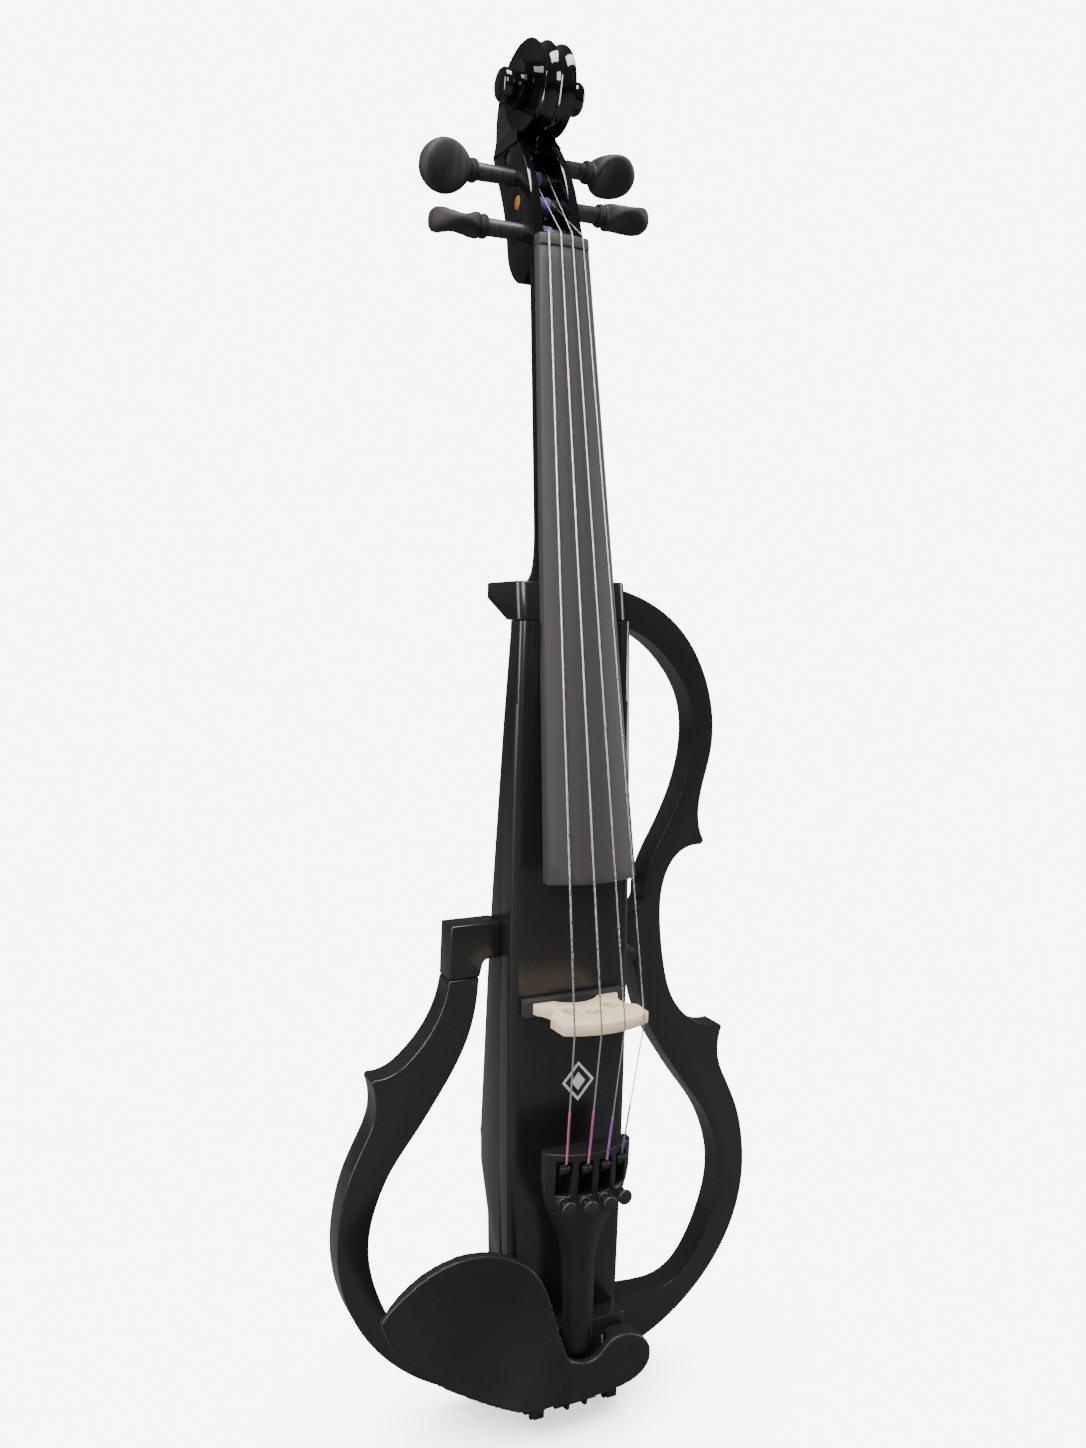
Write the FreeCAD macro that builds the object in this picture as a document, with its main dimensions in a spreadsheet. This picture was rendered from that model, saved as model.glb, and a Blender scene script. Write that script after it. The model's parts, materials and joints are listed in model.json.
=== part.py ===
import FreeCAD, Part
import math
import os
import re
from FreeCAD import Placement, Rotation, Vector

# Electric violin, full size, open frame round a solid centre body.  Millimetres.
# Working datum: X runs from the bass side (-) to the treble side (+), Y from the front (-) to the
# back (+), Z up towards the scroll.  Y = 0 is the front face of the centre body and Z = 0 the
# bridge line.  Every finished piece is then shifted so that the origin is the middle of the neck
# under the nut, where a hanger carries the instrument.

SIZES = (
    # scale and origin
    ("string_length", 328.0, "nut to bridge"),
    ("hanger_drop", 12.0, "hanger line below the nut"),
    ("hanger_depth", 31.0, "hanger line behind the front face"),
    # strings
    ("nut_pitch", 5.5, "string spacing at the nut"),
    ("bridge_pitch", 11.3, "string spacing at the bridge"),
    ("tail_pitch", 9.1, "string spacing at the tailpiece"),
    ("string_clear", 0.2, "gap under a string where it passes over a part"),
    # centre body
    ("body_top", 168.0, "top end above the bridge"),
    ("body_bottom", 184.0, "bottom end below the bridge"),
    ("body_top_half", 26.8, "half width at the top"),
    ("body_mid_half", 29.4, "half width at the waist"),
    ("body_low_half", 26.2, "half width at the bottom"),
    ("body_mid_drop", 28.0, "widest place below the bridge"),
    ("core_depth", 11.0, "front half, front face to parting line"),
    ("core_edge", 3.4, "rounding of the long front edges"),
    ("core_floor", 4.0, "wall left in front of the cavity"),
    ("cavity_half", 22.0, "half width of the cavity in the core"),
    ("cavity_up", 72.0, "cavity end above the bridge"),
    ("cavity_down", 150.0, "cavity end below the bridge"),
    # rear shell
    ("shell_wall", 3.0, "wall of the rear shell"),
    ("shell_top", 162.0, "upper end of the rear shell"),
    ("shell_peak", 32.3, "depth of the thickest place"),
    ("shell_foot", 24.5, "depth over the lower bout"),
    ("land_up", -66.0, "upper edge of the flat control land"),
    ("land_down", -82.0, "lower edge of the flat control land"),
    ("step_down", -104.0, "where the shell reaches its lower depth"),
    ("boss_radius", 4.6, "screw boss"),
    ("boss_side", 20.5, "screw bosses off centre"),
    # heel block and neck
    ("heel_top", 185.0, "top of the heel block above the bridge"),
    ("heel_half", 26.5, "half width of the heel block"),
    ("heel_depth", 38.0, "back of the heel block"),
    ("heel_corner", 5.0, "rounding of its front corners"),
    ("neck_back_nut", 37.2, "back of the neck at the nut"),
    ("neck_back_heel", 20.5, "back of the neck above the heel"),
    ("heel_root_depth", 35.5, "back of the neck where it meets the block"),
    # fingerboard and nut
    ("board_length", 270.0, "fingerboard"),
    ("nut_half", 12.0, "half width at the nut"),
    ("board_end_half", 21.25, "half width at the body end"),
    ("board_edge", 5.0, "edge thickness"),
    ("board_arch", 42.0, "radius of the playing surface"),
    ("board_end_rise", 17.9, "edge in front of the body face at the body end"),
    ("board_nut_drop", 19.4, "edge behind the body face at the nut"),
    ("nut_thick", 5.0, "nut along the string"),
    ("nut_rise", 0.6, "nut above the fingerboard"),
    ("outer_drop", 0.7, "outer strings lower than inner ones at the nut"),
    ("string_nut_depth", 16.6, "inner strings behind the body face at the nut"),
    # pegbox, scroll and pegs
    ("pegbox_half", 12.3, "half width of the pegbox at the nut"),
    ("pegbox_taper", 2.3, "degrees that each side leans in"),
    ("pegbox_slot_half", 6.9, "half width of the peg slot"),
    ("scroll_up", 72.5, "scroll eye above the nut"),
    ("scroll_depth", 46.5, "scroll eye behind the body face"),
    ("scroll_turn", 20.5, "radius of the outer turn"),
    ("scroll_half", 8.2, "half width of the outer turn"),
    ("inner_turn", 13.0, "radius of the second turn"),
    ("inner_half", 13.6, "half width of the second turn"),
    ("eye_turn", 7.4, "radius of the eye"),
    ("eye_half", 19.8, "half width over the eyes"),
    ("peg_g_up", 9.3, "G peg above the nut"),
    ("peg_e_up", 23.4, "E peg above the nut"),
    ("peg_d_up", 36.0, "D peg above the nut"),
    ("peg_a_up", 46.3, "A peg above the nut"),
    ("peg_g_depth", 39.0, "G peg behind the body face"),
    ("peg_e_depth", 44.6, "E peg behind the body face"),
    ("peg_d_depth", 51.2, "D peg behind the body face"),
    ("peg_a_depth", 58.2, "A peg behind the body face"),
    ("peg_tip_radius", 3.2, "peg at its small end"),
    ("peg_neck_radius", 3.9, "peg at its collar"),
    ("peg_reach", 28.6, "collar from the centre line"),
    ("peg_fit", 0.05, "radial clearance of a peg in its holes"),
    ("peg_head_radius", 12.2, "thumb piece"),
    ("peg_head_thick", 11.6, "thumb piece at its rim"),
    ("peg_waist", 6.4, "thumb piece at its waist"),
    ("winding_radius", 4.7, "string wound on a peg"),
    # bridge and pickup
    ("pickup_half", 24.5, "half length of the pickup bar"),
    ("pickup_thick", 4.2, "pickup bar in front of the body"),
    ("pickup_tall", 7.4, "pickup bar along the strings"),
    ("bridge_foot_half", 20.75, "half width over the feet"),
    ("bridge_foot_thick", 4.8, "bridge at its feet"),
    ("bridge_top_thick", 1.4, "bridge at its crown"),
    ("bridge_g", 36.3, "G string in front of the body at the bridge"),
    ("bridge_d", 38.9, "D string"),
    ("bridge_a", 38.6, "A string"),
    ("bridge_e", 35.4, "E string"),
    # open frame
    ("frame_front", 11.0, "front of the frame behind the body face"),
    ("frame_thick", 13.0, "frame front to back"),
    ("frame_edge", 1.3, "rounding of the frame's edges"),
    ("seam_up", 12.0, "seam under the bass bracket above the bridge"),
    ("seam_gap", 0.05, "glue line at a seam"),
    # tail end
    ("block_half", 25.0, "half width of the end block"),
    ("block_thick", 10.5, "end block in front of the body face"),
    ("block_top", 147.0, "top of the end block below the bridge"),
    ("saddle_half", 10.5, "half width of the saddle"),
    ("saddle_rise", 1.4, "saddle in front of the end block"),
    ("saddle_tall", 5.5, "saddle along the body"),
    ("button_depth", 6.5, "end button behind the front face"),
    ("button_radius", 6.4, "end button"),
    ("button_out", 6.5, "end button below the body"),
    ("gut_radius", 0.8, "tailgut"),
    ("gut_pitch", 9.0, "tailgut strands apart"),
    # tailpiece and tuners
    ("tail_top", 59.0, "tailpiece upper edge below the bridge"),
    ("tail_bottom", 158.0, "tailpiece lower end below the bridge"),
    ("slot_width", 6.2, "string slot"),
    ("slot_top", 62.5, "string slot upper end below the bridge"),
    ("slot_bottom", 78.5, "string slot lower end below the bridge"),
    ("channel_bottom", 87.0, "lever channel lower end below the bridge"),
    ("screw_drop", 81.5, "tuner screws below the bridge"),
    ("screw_radius", 1.25, "tuner screw"),
    ("screw_fit", 0.05, "radial clearance of the tuner screws and lever pins"),
    ("screw_head_radius", 3.4, "tuner screw head"),
    ("lever_thick", 3.2, "tuner lever"),
    ("pin_radius", 0.9, "lever pin"),
    ("pivot_drop", 71.0, "lever pins below the bridge"),
    ("lever_arm", 10.5, "lever pin to screw"),
    # chinrest
    ("cork", 2.0, "cork under the chinrest and the clamp foot"),
    ("cup_radius", 92.0, "hollow of the chin cup"),
    ("cup_wall", 5.0, "thickness of the chin cup"),
    ("cup_side", 53.0, "middle of the cup on the bass side"),
    ("cup_drop", 132.0, "middle of the cup below the bridge"),
    ("cup_floor", 15.5, "floor of the cup in front of the body"),
    ("plate_front", 25.5, "rim of the chinrest in front of the body"),
    ("lobe_front", 22.4, "treble lobe in front of the body"),
    ("relief_half", 12.5, "half width of the relief over the tailgut"),
    ("relief_front", 17.6, "relief in front of the body"),
    ("clamp_side", 18.5, "clamp barrels off centre"),
    ("clamp_drop", 186.8, "clamp barrels below the bridge"),
    ("barrel_radius", 2.4, "clamp barrel"),
    ("barrel_length", 22.0, "clamp barrel"),
    ("post_radius", 1.3, "clamp post"),
    ("post_fit", 0.05, "radial clearance of a post in its barrel"),
    ("clamp_travel", 3.0, "how far the clamp foot opens"),
    # controls, sockets and power
    ("knob_side", 18.0, "knobs off centre"),
    ("knob_drop", 74.0, "knobs below the bridge"),
    ("knob_radius", 7.0, "knob"),
    ("knob_tall", 12.5, "knob"),
    ("spindle_radius", 3.0, "spindle under a knob"),
    ("shaft_fit", 0.05, "radial clearance of a spindle"),
    ("jack_bore", 3.2, "6.35 mm output socket, radius"),
    ("jack_drop", 128.0, "output socket below the bridge"),
    ("jack_depth", 16.6, "sockets behind the front face"),
    ("jack_neck", 4.6, "threaded neck of the output socket"),
    ("phones_bore", 1.8, "3.5 mm headphone socket, radius"),
    ("phones_drop", 143.0, "headphone socket below the bridge"),
    ("phones_neck", 3.0, "threaded neck of the headphone socket"),
    ("battery_wide", 26.2, "9 V block"),
    ("battery_deep", 17.0, "9 V block"),
    ("battery_tall", 46.0, "9 V block body"),
    ("battery_low", -56.0, "lower end of the battery"),
    ("battery_front", 5.4, "front of the battery behind the front face"),
    ("door_half", 15.5, "half width of the battery door"),
    ("door_low", -60.0, "lower edge of the battery door"),
    ("door_high", -2.0, "upper edge of the battery door"),
    ("door_gap", 0.35, "gap round the battery door"),
    ("knuckle_radius", 1.7, "battery door knuckle"),
    ("hinge_radius", 0.8, "battery door pin"),
)

doc = FreeCAD.newDocument("electric_violin")
sheet = doc.addObject("Spreadsheet::Sheet", "Sizes")
for row, (alias, value, note) in enumerate(SIZES, start=1):
    sheet.set("A%d" % row, alias)
    sheet.set("B%d" % row, str(value))
    sheet.set("C%d" % row, note)
    sheet.setAlias("B%d" % row, alias)
doc.recompute()

ALIASES = {alias for alias, _, _ in SIZES}
AXES = {"x": Vector(1, 0, 0), "y": Vector(0, 1, 0), "z": Vector(0, 0, 1)}
# sketch plane: how it is turned, and the axis that its outline is pushed along
PLANES = {
    "XZ": (Rotation(Vector(1, 0, 0), 90), "y"),
    "YZ": (Rotation(Vector(1, 1, 1), 120), "x"),
    "XY": (Rotation(), "z"),
}
SIDES = {"bass": -1, "treble": 1}
parts = []


def size(alias):
    """Value of one cell of the sheet."""
    return float(sheet.get(alias))


def ref(text):
    """Expression text with every size name pointed at the sheet."""
    return re.sub(r"[a-z]\w*", lambda m: "Sizes." + m[0] if m[0] in ALIASES else m[0], str(text))


def place(item, x, y, z, turn=Rotation()):
    """Bind the place of an object to the sheet."""
    item.Placement = Placement(Vector(), turn)
    for axis, text in zip("xyz", (x, y, z)):
        item.setExpression("Placement.Base." + axis, ref(text))
    return item


def box(name, corner, length, width, height, turn=Rotation()):
    """Box from its low corner."""
    item = doc.addObject("Part::Box", name)
    for prop, text in (("Length", length), ("Width", width), ("Height", height)):
        item.setExpression(prop, ref(text))
    return place(item, *corner, turn)


def cylinder(name, start, axis, radius, height):
    """Cylinder from the middle of its first end, along one axis."""
    item = doc.addObject("Part::Cylinder", name)
    item.setExpression("Radius", ref(radius))
    item.setExpression("Height", ref(height))
    return place(item, *start, Rotation(AXES["z"], AXES[axis]))


def prism(name, plane, curves, start, length):
    """Closed outline pushed along its plane's normal axis."""
    turn, axis = PLANES[plane]
    outline = doc.addObject("Sketcher::SketchObject", name + "_outline")
    outline.addGeometry(curves, False)
    outline.Placement = Placement(Vector(), turn)
    outline.setExpression("Placement.Base." + axis, ref(start))
    item = doc.addObject("Part::Extrusion", name)
    item.Base = outline
    item.DirMode = "Custom"
    item.Dir = AXES[axis]
    item.Solid = True
    item.setExpression("LengthFwd", ref(length))
    return item


def loft(name, sections):
    """Solid through closed outlines, each given with its height."""
    outlines = []
    for number, (height, curves) in enumerate(sections, start=1):
        outline = doc.addObject("Sketcher::SketchObject", "%s_section_%d" % (name, number))
        outline.addGeometry(curves, False)
        outline.Placement = Placement(Vector(0, 0, height), Rotation())
        outlines.append(outline)
    item = doc.addObject("Part::Loft", name)
    item.Sections = outlines
    item.Solid = True
    item.Ruled = True
    return item


def cut(name, base, *tools):
    """Base less every tool."""
    for number, tool in enumerate(tools, start=1):
        item = doc.addObject("Part::Cut", "%s_cut_%d" % (name, number))
        item.Base = base
        item.Tool = tool
        base = item
    return base


def fuse(name, *items):
    """One solid from several."""
    item = doc.addObject("Part::MultiFuse", name)
    item.Shapes = list(items)
    return item


def common(name, first, second):
    """What two solids share."""
    item = doc.addObject("Part::MultiCommon", name)
    item.Shapes = [first, second]
    return item


def group(name, *items):
    """Separate solids kept as one node."""
    item = doc.addObject("Part::Compound", name)
    item.Links = list(items)
    return item


def fillet(name, base, alias, chosen):
    """Rounds the edges that the test picks."""
    doc.recompute()
    radius = size(alias)
    item = doc.addObject("Part::Fillet", name)
    item.Base = base
    item.Edges = [(number, radius, radius) for number, edge in enumerate(base.Shape.Edges, start=1)
                  if chosen(edge)]
    return item


def publish(item, label):
    """Name a finished piece and shift it from the working datum to the origin."""
    if item.TypeId in ("Part::Feature", "PartDesign::Body", "Part::Box", "Part::Cylinder"):
        item = group(label + "_placed", item)
    item.Label = label
    item.setExpression("Placement.Base.y", ref("-hanger_depth"))
    item.setExpression("Placement.Base.z", ref("hanger_drop - string_length"))
    parts.append(item)
    return item


def point(x, y):
    """Point of a sketch."""
    return Vector(x, y, 0)


def line(start, end):
    """Straight sketch edge."""
    return Part.LineSegment(point(*start), point(*end))


def arc(start, middle, end):
    """Arc of a circle through three points."""
    return Part.Arc(point(*start), point(*middle), point(*end))


def curve(*points):
    """Smooth sketch edge through points."""
    spline = Part.BSplineCurve()
    spline.interpolate([point(*p) for p in points])
    return spline


def polygon(*points):
    """Closed outline of straight edges."""
    return [line(a, b) for a, b in zip(points, points[1:] + points[:1])]


def mirrored(points):
    """The same points on the other side of the centre line."""
    return [(-x, z) for x, z in points]


# ---------------------------------------------------------------- shared lines

NUT = size("string_length")
BOARD_END = NUT - size("board_length")
BOARD_SLOPE = (size("board_nut_drop") + size("board_end_rise")) / size("board_length")


def board_half(height):
    """Half width of the fingerboard at a height."""
    share = (NUT - height) / size("board_length")
    return size("nut_half") + (size("board_end_half") - size("nut_half")) * share


def board_edge_y(height):
    """Front edge of the fingerboard at a height."""
    return size("board_nut_drop") - (NUT - height) * BOARD_SLOPE


def board_under_y(height):
    """Underside of the fingerboard at a height."""
    return board_edge_y(height) + size("board_edge")


def arch(half, radius):
    """Rise of an arc over its chord."""
    return radius - math.sqrt(radius ** 2 - half ** 2)


def core_outline(inset, top, bottom):
    """Front view of the centre body, kept inside by an inset."""
    top_half, mid_half, low_half = (size(a) - inset for a in
                                    ("body_top_half", "body_mid_half", "body_low_half"))
    mid = -size("body_mid_drop")
    return [
        arc((top_half, top), (mid_half, mid), (low_half, bottom)),
        line((low_half, bottom), (-low_half, bottom)),
        arc((-low_half, bottom), (-mid_half, mid), (-top_half, top)),
        line((-top_half, top), (top_half, top)),
    ]


def core_half(height):
    """Half width of the centre body at a height."""
    top, mid, low = (Vector(size(a), z, 0) for a, z in (
        ("body_top_half", size("body_top")), ("body_mid_half", -size("body_mid_drop")),
        ("body_low_half", -size("body_bottom"))))
    side = Part.Arc(top, mid, low).toShape().Curve
    across = math.sqrt(side.Radius ** 2 - (height - side.Center.y) ** 2)
    return side.Center.x + across


# ---------------------------------------------------------------- centre body

core_block = prism("core_block", "XZ", core_outline(0, size("body_top"), -size("body_bottom")),
                   "0", "core_depth")
core_rounded = fillet("core_rounded", core_block, "core_edge",
                      lambda e: e.BoundBox.ZLength > 100 and e.BoundBox.YMax < 0.01)
core_cavity = box("core_cavity", ("-cavity_half", "core_floor", "-cavity_down"),
                  "2 * cavity_half", "core_depth", "cavity_up + cavity_down")
recess_start = BOARD_END + (size("board_end_rise") - size("board_edge")) / BOARD_SLOPE
board_recess = prism("board_recess", "YZ", polygon(
    (0, recess_start),
    (board_under_y(size("body_top") + 1), size("body_top") + 1),
    (-size("board_edge"), size("body_top") + 1),
    (-size("board_edge"), recess_start)), "-board_end_half", "2 * board_end_half")
core = cut("body_core", core_rounded, core_cavity, board_recess)

# ---------------------------------------------------------------- rear shell


def shell_profile(inset, bottom):
    """Side view of the rear shell behind the parting line, kept inside by an inset."""
    start = size("core_depth")
    top = size("shell_top") - inset * 6
    peak = size("shell_peak") - inset
    foot = size("shell_foot") - inset
    land_up, land_down, step = (size(a) for a in ("land_up", "land_down", "step_down"))
    half_way = ((peak + foot) / 2, (land_down + step) / 2)
    return [
        line((start, bottom), (start, top)),
        line((start, top), (peak, land_up)),
        line((peak, land_up), (peak, land_down)),
        curve((peak, land_down), half_way, (foot, step)),
        line((foot, step), (foot, bottom)),
        line((foot, bottom), (start, bottom)),
    ]


def shell_solid(name, inset, bottom):
    """Rear shell outline in both views, as one solid."""
    side = prism(name + "_side", "YZ", shell_profile(inset, bottom), "-body_mid_half - 5",
                 "2 * body_mid_half + 10")
    front = prism(name + "_front", "XZ", core_outline(inset, size("body_top"), -size("body_bottom")),
                  "core_depth", "shell_peak")
    return common(name, side, front)


SHELL_SLOPE = (size("shell_peak") - size("core_depth")) / (size("shell_top") - size("land_up"))


def shell_back_y(height):
    """Back face of the shell on its long slope."""
    return size("shell_peak") - SHELL_SLOPE * (height - size("land_up"))


shell_outer = shell_solid("shell_outer", 0, -size("body_bottom"))
shell_inner = shell_solid("shell_inner", size("shell_wall"), -size("cavity_down"))
COVER_SCREWS = [(side, drop) for drop in (58.0, -12.0, -112.0) for side in (-1, 1)]
bosses = [cylinder("boss_%d" % n, ("%d * boss_side" % side, "core_depth - 1", drop), "y",
                   "boss_radius", "shell_peak")
          for n, (side, drop) in enumerate(COVER_SCREWS, start=1)]
shell_hollow = cut("shell_hollow", shell_inner, *bosses)

door_cutter = box("door_cutter", ("-door_half", "core_depth + 2", "door_low"), "2 * door_half",
                  "shell_peak", "door_high - door_low")
door_hole = box("door_hole", ("-door_half - door_gap", "core_depth + 2", "door_low - door_gap"),
                "2 * (door_half + door_gap)", "shell_peak", "door_high - door_low + 2 * door_gap")
HINGE_Z = size("door_low")
HINGE_Y = shell_back_y(HINGE_Z) - 1.3
knuckle_space = cylinder("knuckle_space", ("-door_half - door_gap", HINGE_Y, HINGE_Z), "x",
                         "knuckle_radius + door_gap", "2 * (door_half + door_gap)")
hinge_bore = cylinder("hinge_bore", ("-door_half - 4", HINGE_Y, HINGE_Z), "x",
                      "hinge_radius + shaft_fit", "2 * door_half + 8")
screw_wells = []
for n, (side, drop) in enumerate(COVER_SCREWS, start=1):
    seat = "core_depth + 5"
    well = cylinder("screw_well_%d" % n, ("%d * boss_side" % side, seat, drop), "y",
                    3.1, "shell_peak")
    hole = cylinder("screw_hole_%d" % n, ("%d * boss_side" % side, "core_depth - 1", drop), "y",
                    1.6, "8")
    screw_wells += [well, hole]
spindle_holes = [cylinder("spindle_hole_" + name, ("%d * knob_side" % side, "core_depth", "-knob_drop"),
                          "y", "spindle_radius + shaft_fit", "shell_peak")
                 for name, side in SIDES.items()]
switch_hole = box("switch_hole", ("-2", "shell_peak - shell_wall - 2", "-knob_drop - 5"),
                  "4", "10", "10")
jack_hole = cylinder("jack_hole", ("-body_mid_half - 3", "jack_depth", "-jack_drop"), "x",
                     "jack_neck", "12")
phones_hole = cylinder("phones_hole", ("-body_mid_half - 3", "jack_depth", "-phones_drop"), "x",
                       "phones_neck", "12")
rear_shell = cut("rear_shell", shell_outer, shell_hollow, door_hole, knuckle_space, hinge_bore,
                 *screw_wells, *spindle_holes, switch_hole, jack_hole, phones_hole)

# screws that hold the shell, threaded into the core
cover_screws = []
core_threads = []
for n, (side, drop) in enumerate(COVER_SCREWS, start=1):
    x = "%d * boss_side" % side
    head = cylinder("cover_screw_head_%d" % n, (x, "core_depth + 5", drop), "y", 2.9, 1.8)
    shank = cylinder("cover_screw_shank_%d" % n, (x, "core_floor", drop), "y", 1.5,
                     "core_depth - core_floor + 5.2")
    whole = fuse("cover_screw_%d" % n, head, shank)
    drive = box("cover_screw_drive_%d" % n, ("%s - 0.4" % x, "core_depth + 6", drop - 2.2),
                0.8, 3, 4.4)
    cover_screws.append(cut("cover_screw_%d" % n, whole, drive))
    core_threads.append(cylinder("core_thread_%d" % n, (x, "core_floor", drop), "y", 1.5,
                                 "core_depth"))
core_pads = [cylinder("core_pad_%d" % n, ("%d * boss_side" % side, "core_floor - 1", drop), "y",
                      "boss_radius", "core_depth - core_floor + 1")
             for n, (side, drop) in enumerate(COVER_SCREWS, start=1)]
button_bore = cylinder("button_bore", (0, "button_depth", "-body_bottom - 1"), "z", 3.2, 13)
core = cut("body_core_drilled", fuse("body_core_pads", core, *core_pads), *core_threads,
           button_bore)
publish(core, "body_core")
publish(rear_shell, "rear_shell")
publish(group("cover_screw_set", *cover_screws), "cover_screws")

# battery door, its pin and the battery
door_outer = shell_solid("door_outer", 0, -size("body_bottom"))
door_inner = shell_solid("door_inner", size("shell_wall"), -size("cavity_down"))
door_skin = common("door_skin", cut("door_shell", door_outer, door_inner), door_cutter)
knuckle = cylinder("door_knuckle", ("-door_half", HINGE_Y, HINGE_Z), "x", "knuckle_radius",
                   "2 * door_half")
hinge_pin = cylinder("door_hinge_pin", ("-door_half - 3", HINGE_Y, HINGE_Z), "x",
                     "hinge_radius", "2 * door_half + 6")
publish(fuse("door_fused", door_skin, knuckle, hinge_pin), "battery_door")

cell = box("battery_cell", ("-battery_wide / 2", "battery_front", "battery_low"), "battery_wide",
           "battery_deep", "battery_tall")
poles = [cylinder("battery_pole_%s" % name,
                  ("%d * 6.4" % side, "battery_front + battery_deep / 2",
                   "battery_low + battery_tall"), "z", 2.9, 2.2)
         for name, side in SIDES.items()]
publish(fuse("battery_body", cell, *poles), "battery")
tray_outer = box("tray_outer", ("-battery_wide / 2 - 1.5", "core_floor", "battery_low - 1.6"),
                 "battery_wide + 3", "10", "battery_tall + 1.4")
tray_inner = box("tray_inner", ("-battery_wide / 2 - 0.2", "core_floor + 1.4",
                                "battery_low - 0.2"), "battery_wide + 0.4", "10",
                 "battery_tall + 3")
publish(cut("battery_tray_cut", tray_outer, tray_inner), "battery_tray")

# preamplifier board with its parts on it
pcb = box("pcb", (-19, "core_floor + 3", 8), 38, 1.6, 44)
chips = [box("chip_%d" % n, (x, "core_floor + 4.6", z), 7, 2, 9)
         for n, (x, z) in enumerate(((-14, 14), (6, 14), (-14, 38)), start=1)]
cans = [cylinder("can_%d" % n, (x, "core_floor + 4.4", z), "y", 2.6, 5.2)
        for n, (x, z) in enumerate(((0, 32), (8, 38), (13, 44.5)), start=1)]
standoffs = [cylinder("standoff_%d" % n, (x, "core_floor", z), "y", 2, 3.2)
             for n, (x, z) in enumerate(((-16, 11), (16, 11), (-15, 49), (15, 49)), start=1)]
publish(fuse("preamp", pcb, *chips, *cans, *standoffs), "preamp_board")

# ---------------------------------------------------------------- controls on the back


def spun(name, profile):
    """PartDesign body turned round its own Z axis from a half profile."""
    item = doc.addObject("PartDesign::Body", name)
    plane = next(f for f in item.Origin.OriginFeatures if f.Role == "XZ_Plane")
    outline = item.newObject("Sketcher::SketchObject", name + "_profile")
    outline.AttachmentSupport = (plane, [""])
    outline.MapMode = "FlatFace"
    outline.addGeometry(profile, False)
    turned = item.newObject("PartDesign::Revolution", name + "_turned")
    turned.Profile = outline
    turned.ReferenceAxis = (outline, ["V_Axis"])
    turned.Angle = 360
    return item


def laid(body, x, y, z, outward):
    """Stand a body with its Z axis along a direction."""
    return place(body, x, y, z, Rotation(AXES["z"], outward))


BACK = Vector(0, 1, 0)
FRONT = Vector(0, -1, 0)
control_cases = []
for name, side, label in (("volume", -1, "volume_knob"), ("tone", 1, "tone_knob")):
    radius = size("knob_radius")
    tall = size("knob_tall")
    spindle = size("spindle_radius")
    knob = spun(label + "_body", [
        line((0, -6), (spindle, -6)),
        line((spindle, -6), (spindle, 0.5)),
        line((spindle, 0.5), (radius, 0.5)),
        line((radius, 0.5), (radius - 0.6, tall - 1.4)),
        arc((radius - 0.6, tall - 1.4), (radius - 1, tall - 0.4), (radius - 2, tall)),
        line((radius - 2, tall), (0, tall - 0.5)),
        line((0, tall - 0.5), (0, -6)),
    ])
    laid(knob, "%d * knob_side" % side, "shell_peak", "-knob_drop", BACK)
    publish(knob, label)
    pot = cylinder(name + "_pot_can", ("%d * knob_side" % side, "core_depth + 2", "-knob_drop"),
                   "y", 7.0, "shell_peak - shell_wall - core_depth - 2")
    pot_bore = cylinder(name + "_pot_bore", ("%d * knob_side" % side, "core_depth + 8",
                                             "-knob_drop"), "y", "spindle_radius + shaft_fit",
                        "shell_peak")
    control_cases.append(cut(name + "_pot_cut", pot, pot_bore))

switch_stem = box("switch_stem", (-1.95, "shell_peak - shell_wall - 1", "-knob_drop - 4.6"), 3.9,
                  "shell_wall + 3.4", 4.2)
switch_foot = box("switch_foot", (-3.6, "shell_peak - shell_wall - 2.6", "-knob_drop - 4.6"),
                  7.2, 2.2, 4.2)
publish(fuse("switch_slider", switch_stem, switch_foot), "power_switch")
control_cases.append(box("switch_case", (-6, "core_depth + 4", "-knob_drop - 9"), 12, "11.6", 18))
publish(group("control_case_set", *control_cases), "control_cases")

# sockets in the bass side wall


def socket(name, bore, neck, drop, case, depth):
    """Panel socket with a nut outside the wall, a neck through it and a case inside."""
    wall_x = -core_half(-size(drop))
    height = "-" + drop
    inside = wall_x + size("shell_wall") + 1.1
    flange = cylinder(name + "_nut", (wall_x - 2.2, "jack_depth", height), "x",
                      "%s + 1.4" % neck, 1.6)
    tube = cylinder(name + "_neck", (wall_x - 2.2, "jack_depth", height), "x",
                    "%s - 0.05" % neck, 7.6)
    body = box(name + "_case", (inside, "jack_depth - %s / 2" % case,
                                "%s - %s / 2" % (height, case)), depth, case, case)
    hole = cylinder(name + "_hole", (wall_x - 3, "jack_depth", height), "x", bore,
                    "%s + 4" % depth)
    return cut(name, fuse(name + "_fused", flange, tube, body), hole)


publish(socket("output_jack_socket", "jack_bore", "jack_neck", "jack_drop", "9.6", "26"),
        "output_jack")
publish(socket("phones_jack_socket", "phones_bore", "phones_neck", "phones_drop", "8", "14"),
        "headphone_jack")

# ---------------------------------------------------------------- heel block, neck and head

heel_low = size("body_top")
heel_front_low = board_under_y(heel_low)
heel_front_top = board_under_y(size("heel_top"))
heel_prism = prism("heel_prism", "YZ", polygon(
    (heel_front_low, heel_low), (heel_front_top, size("heel_top")),
    (size("heel_depth"), size("heel_top") - 1.0), (size("heel_depth"), heel_low + 9),
    (size("core_depth") + 6, heel_low)), "-heel_half", "2 * heel_half")
publish(fillet("heel_rounded", heel_prism, "heel_corner",
               lambda e: e.BoundBox.ZLength > 15 and e.BoundBox.YMax < 8), "heel_block")


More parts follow.
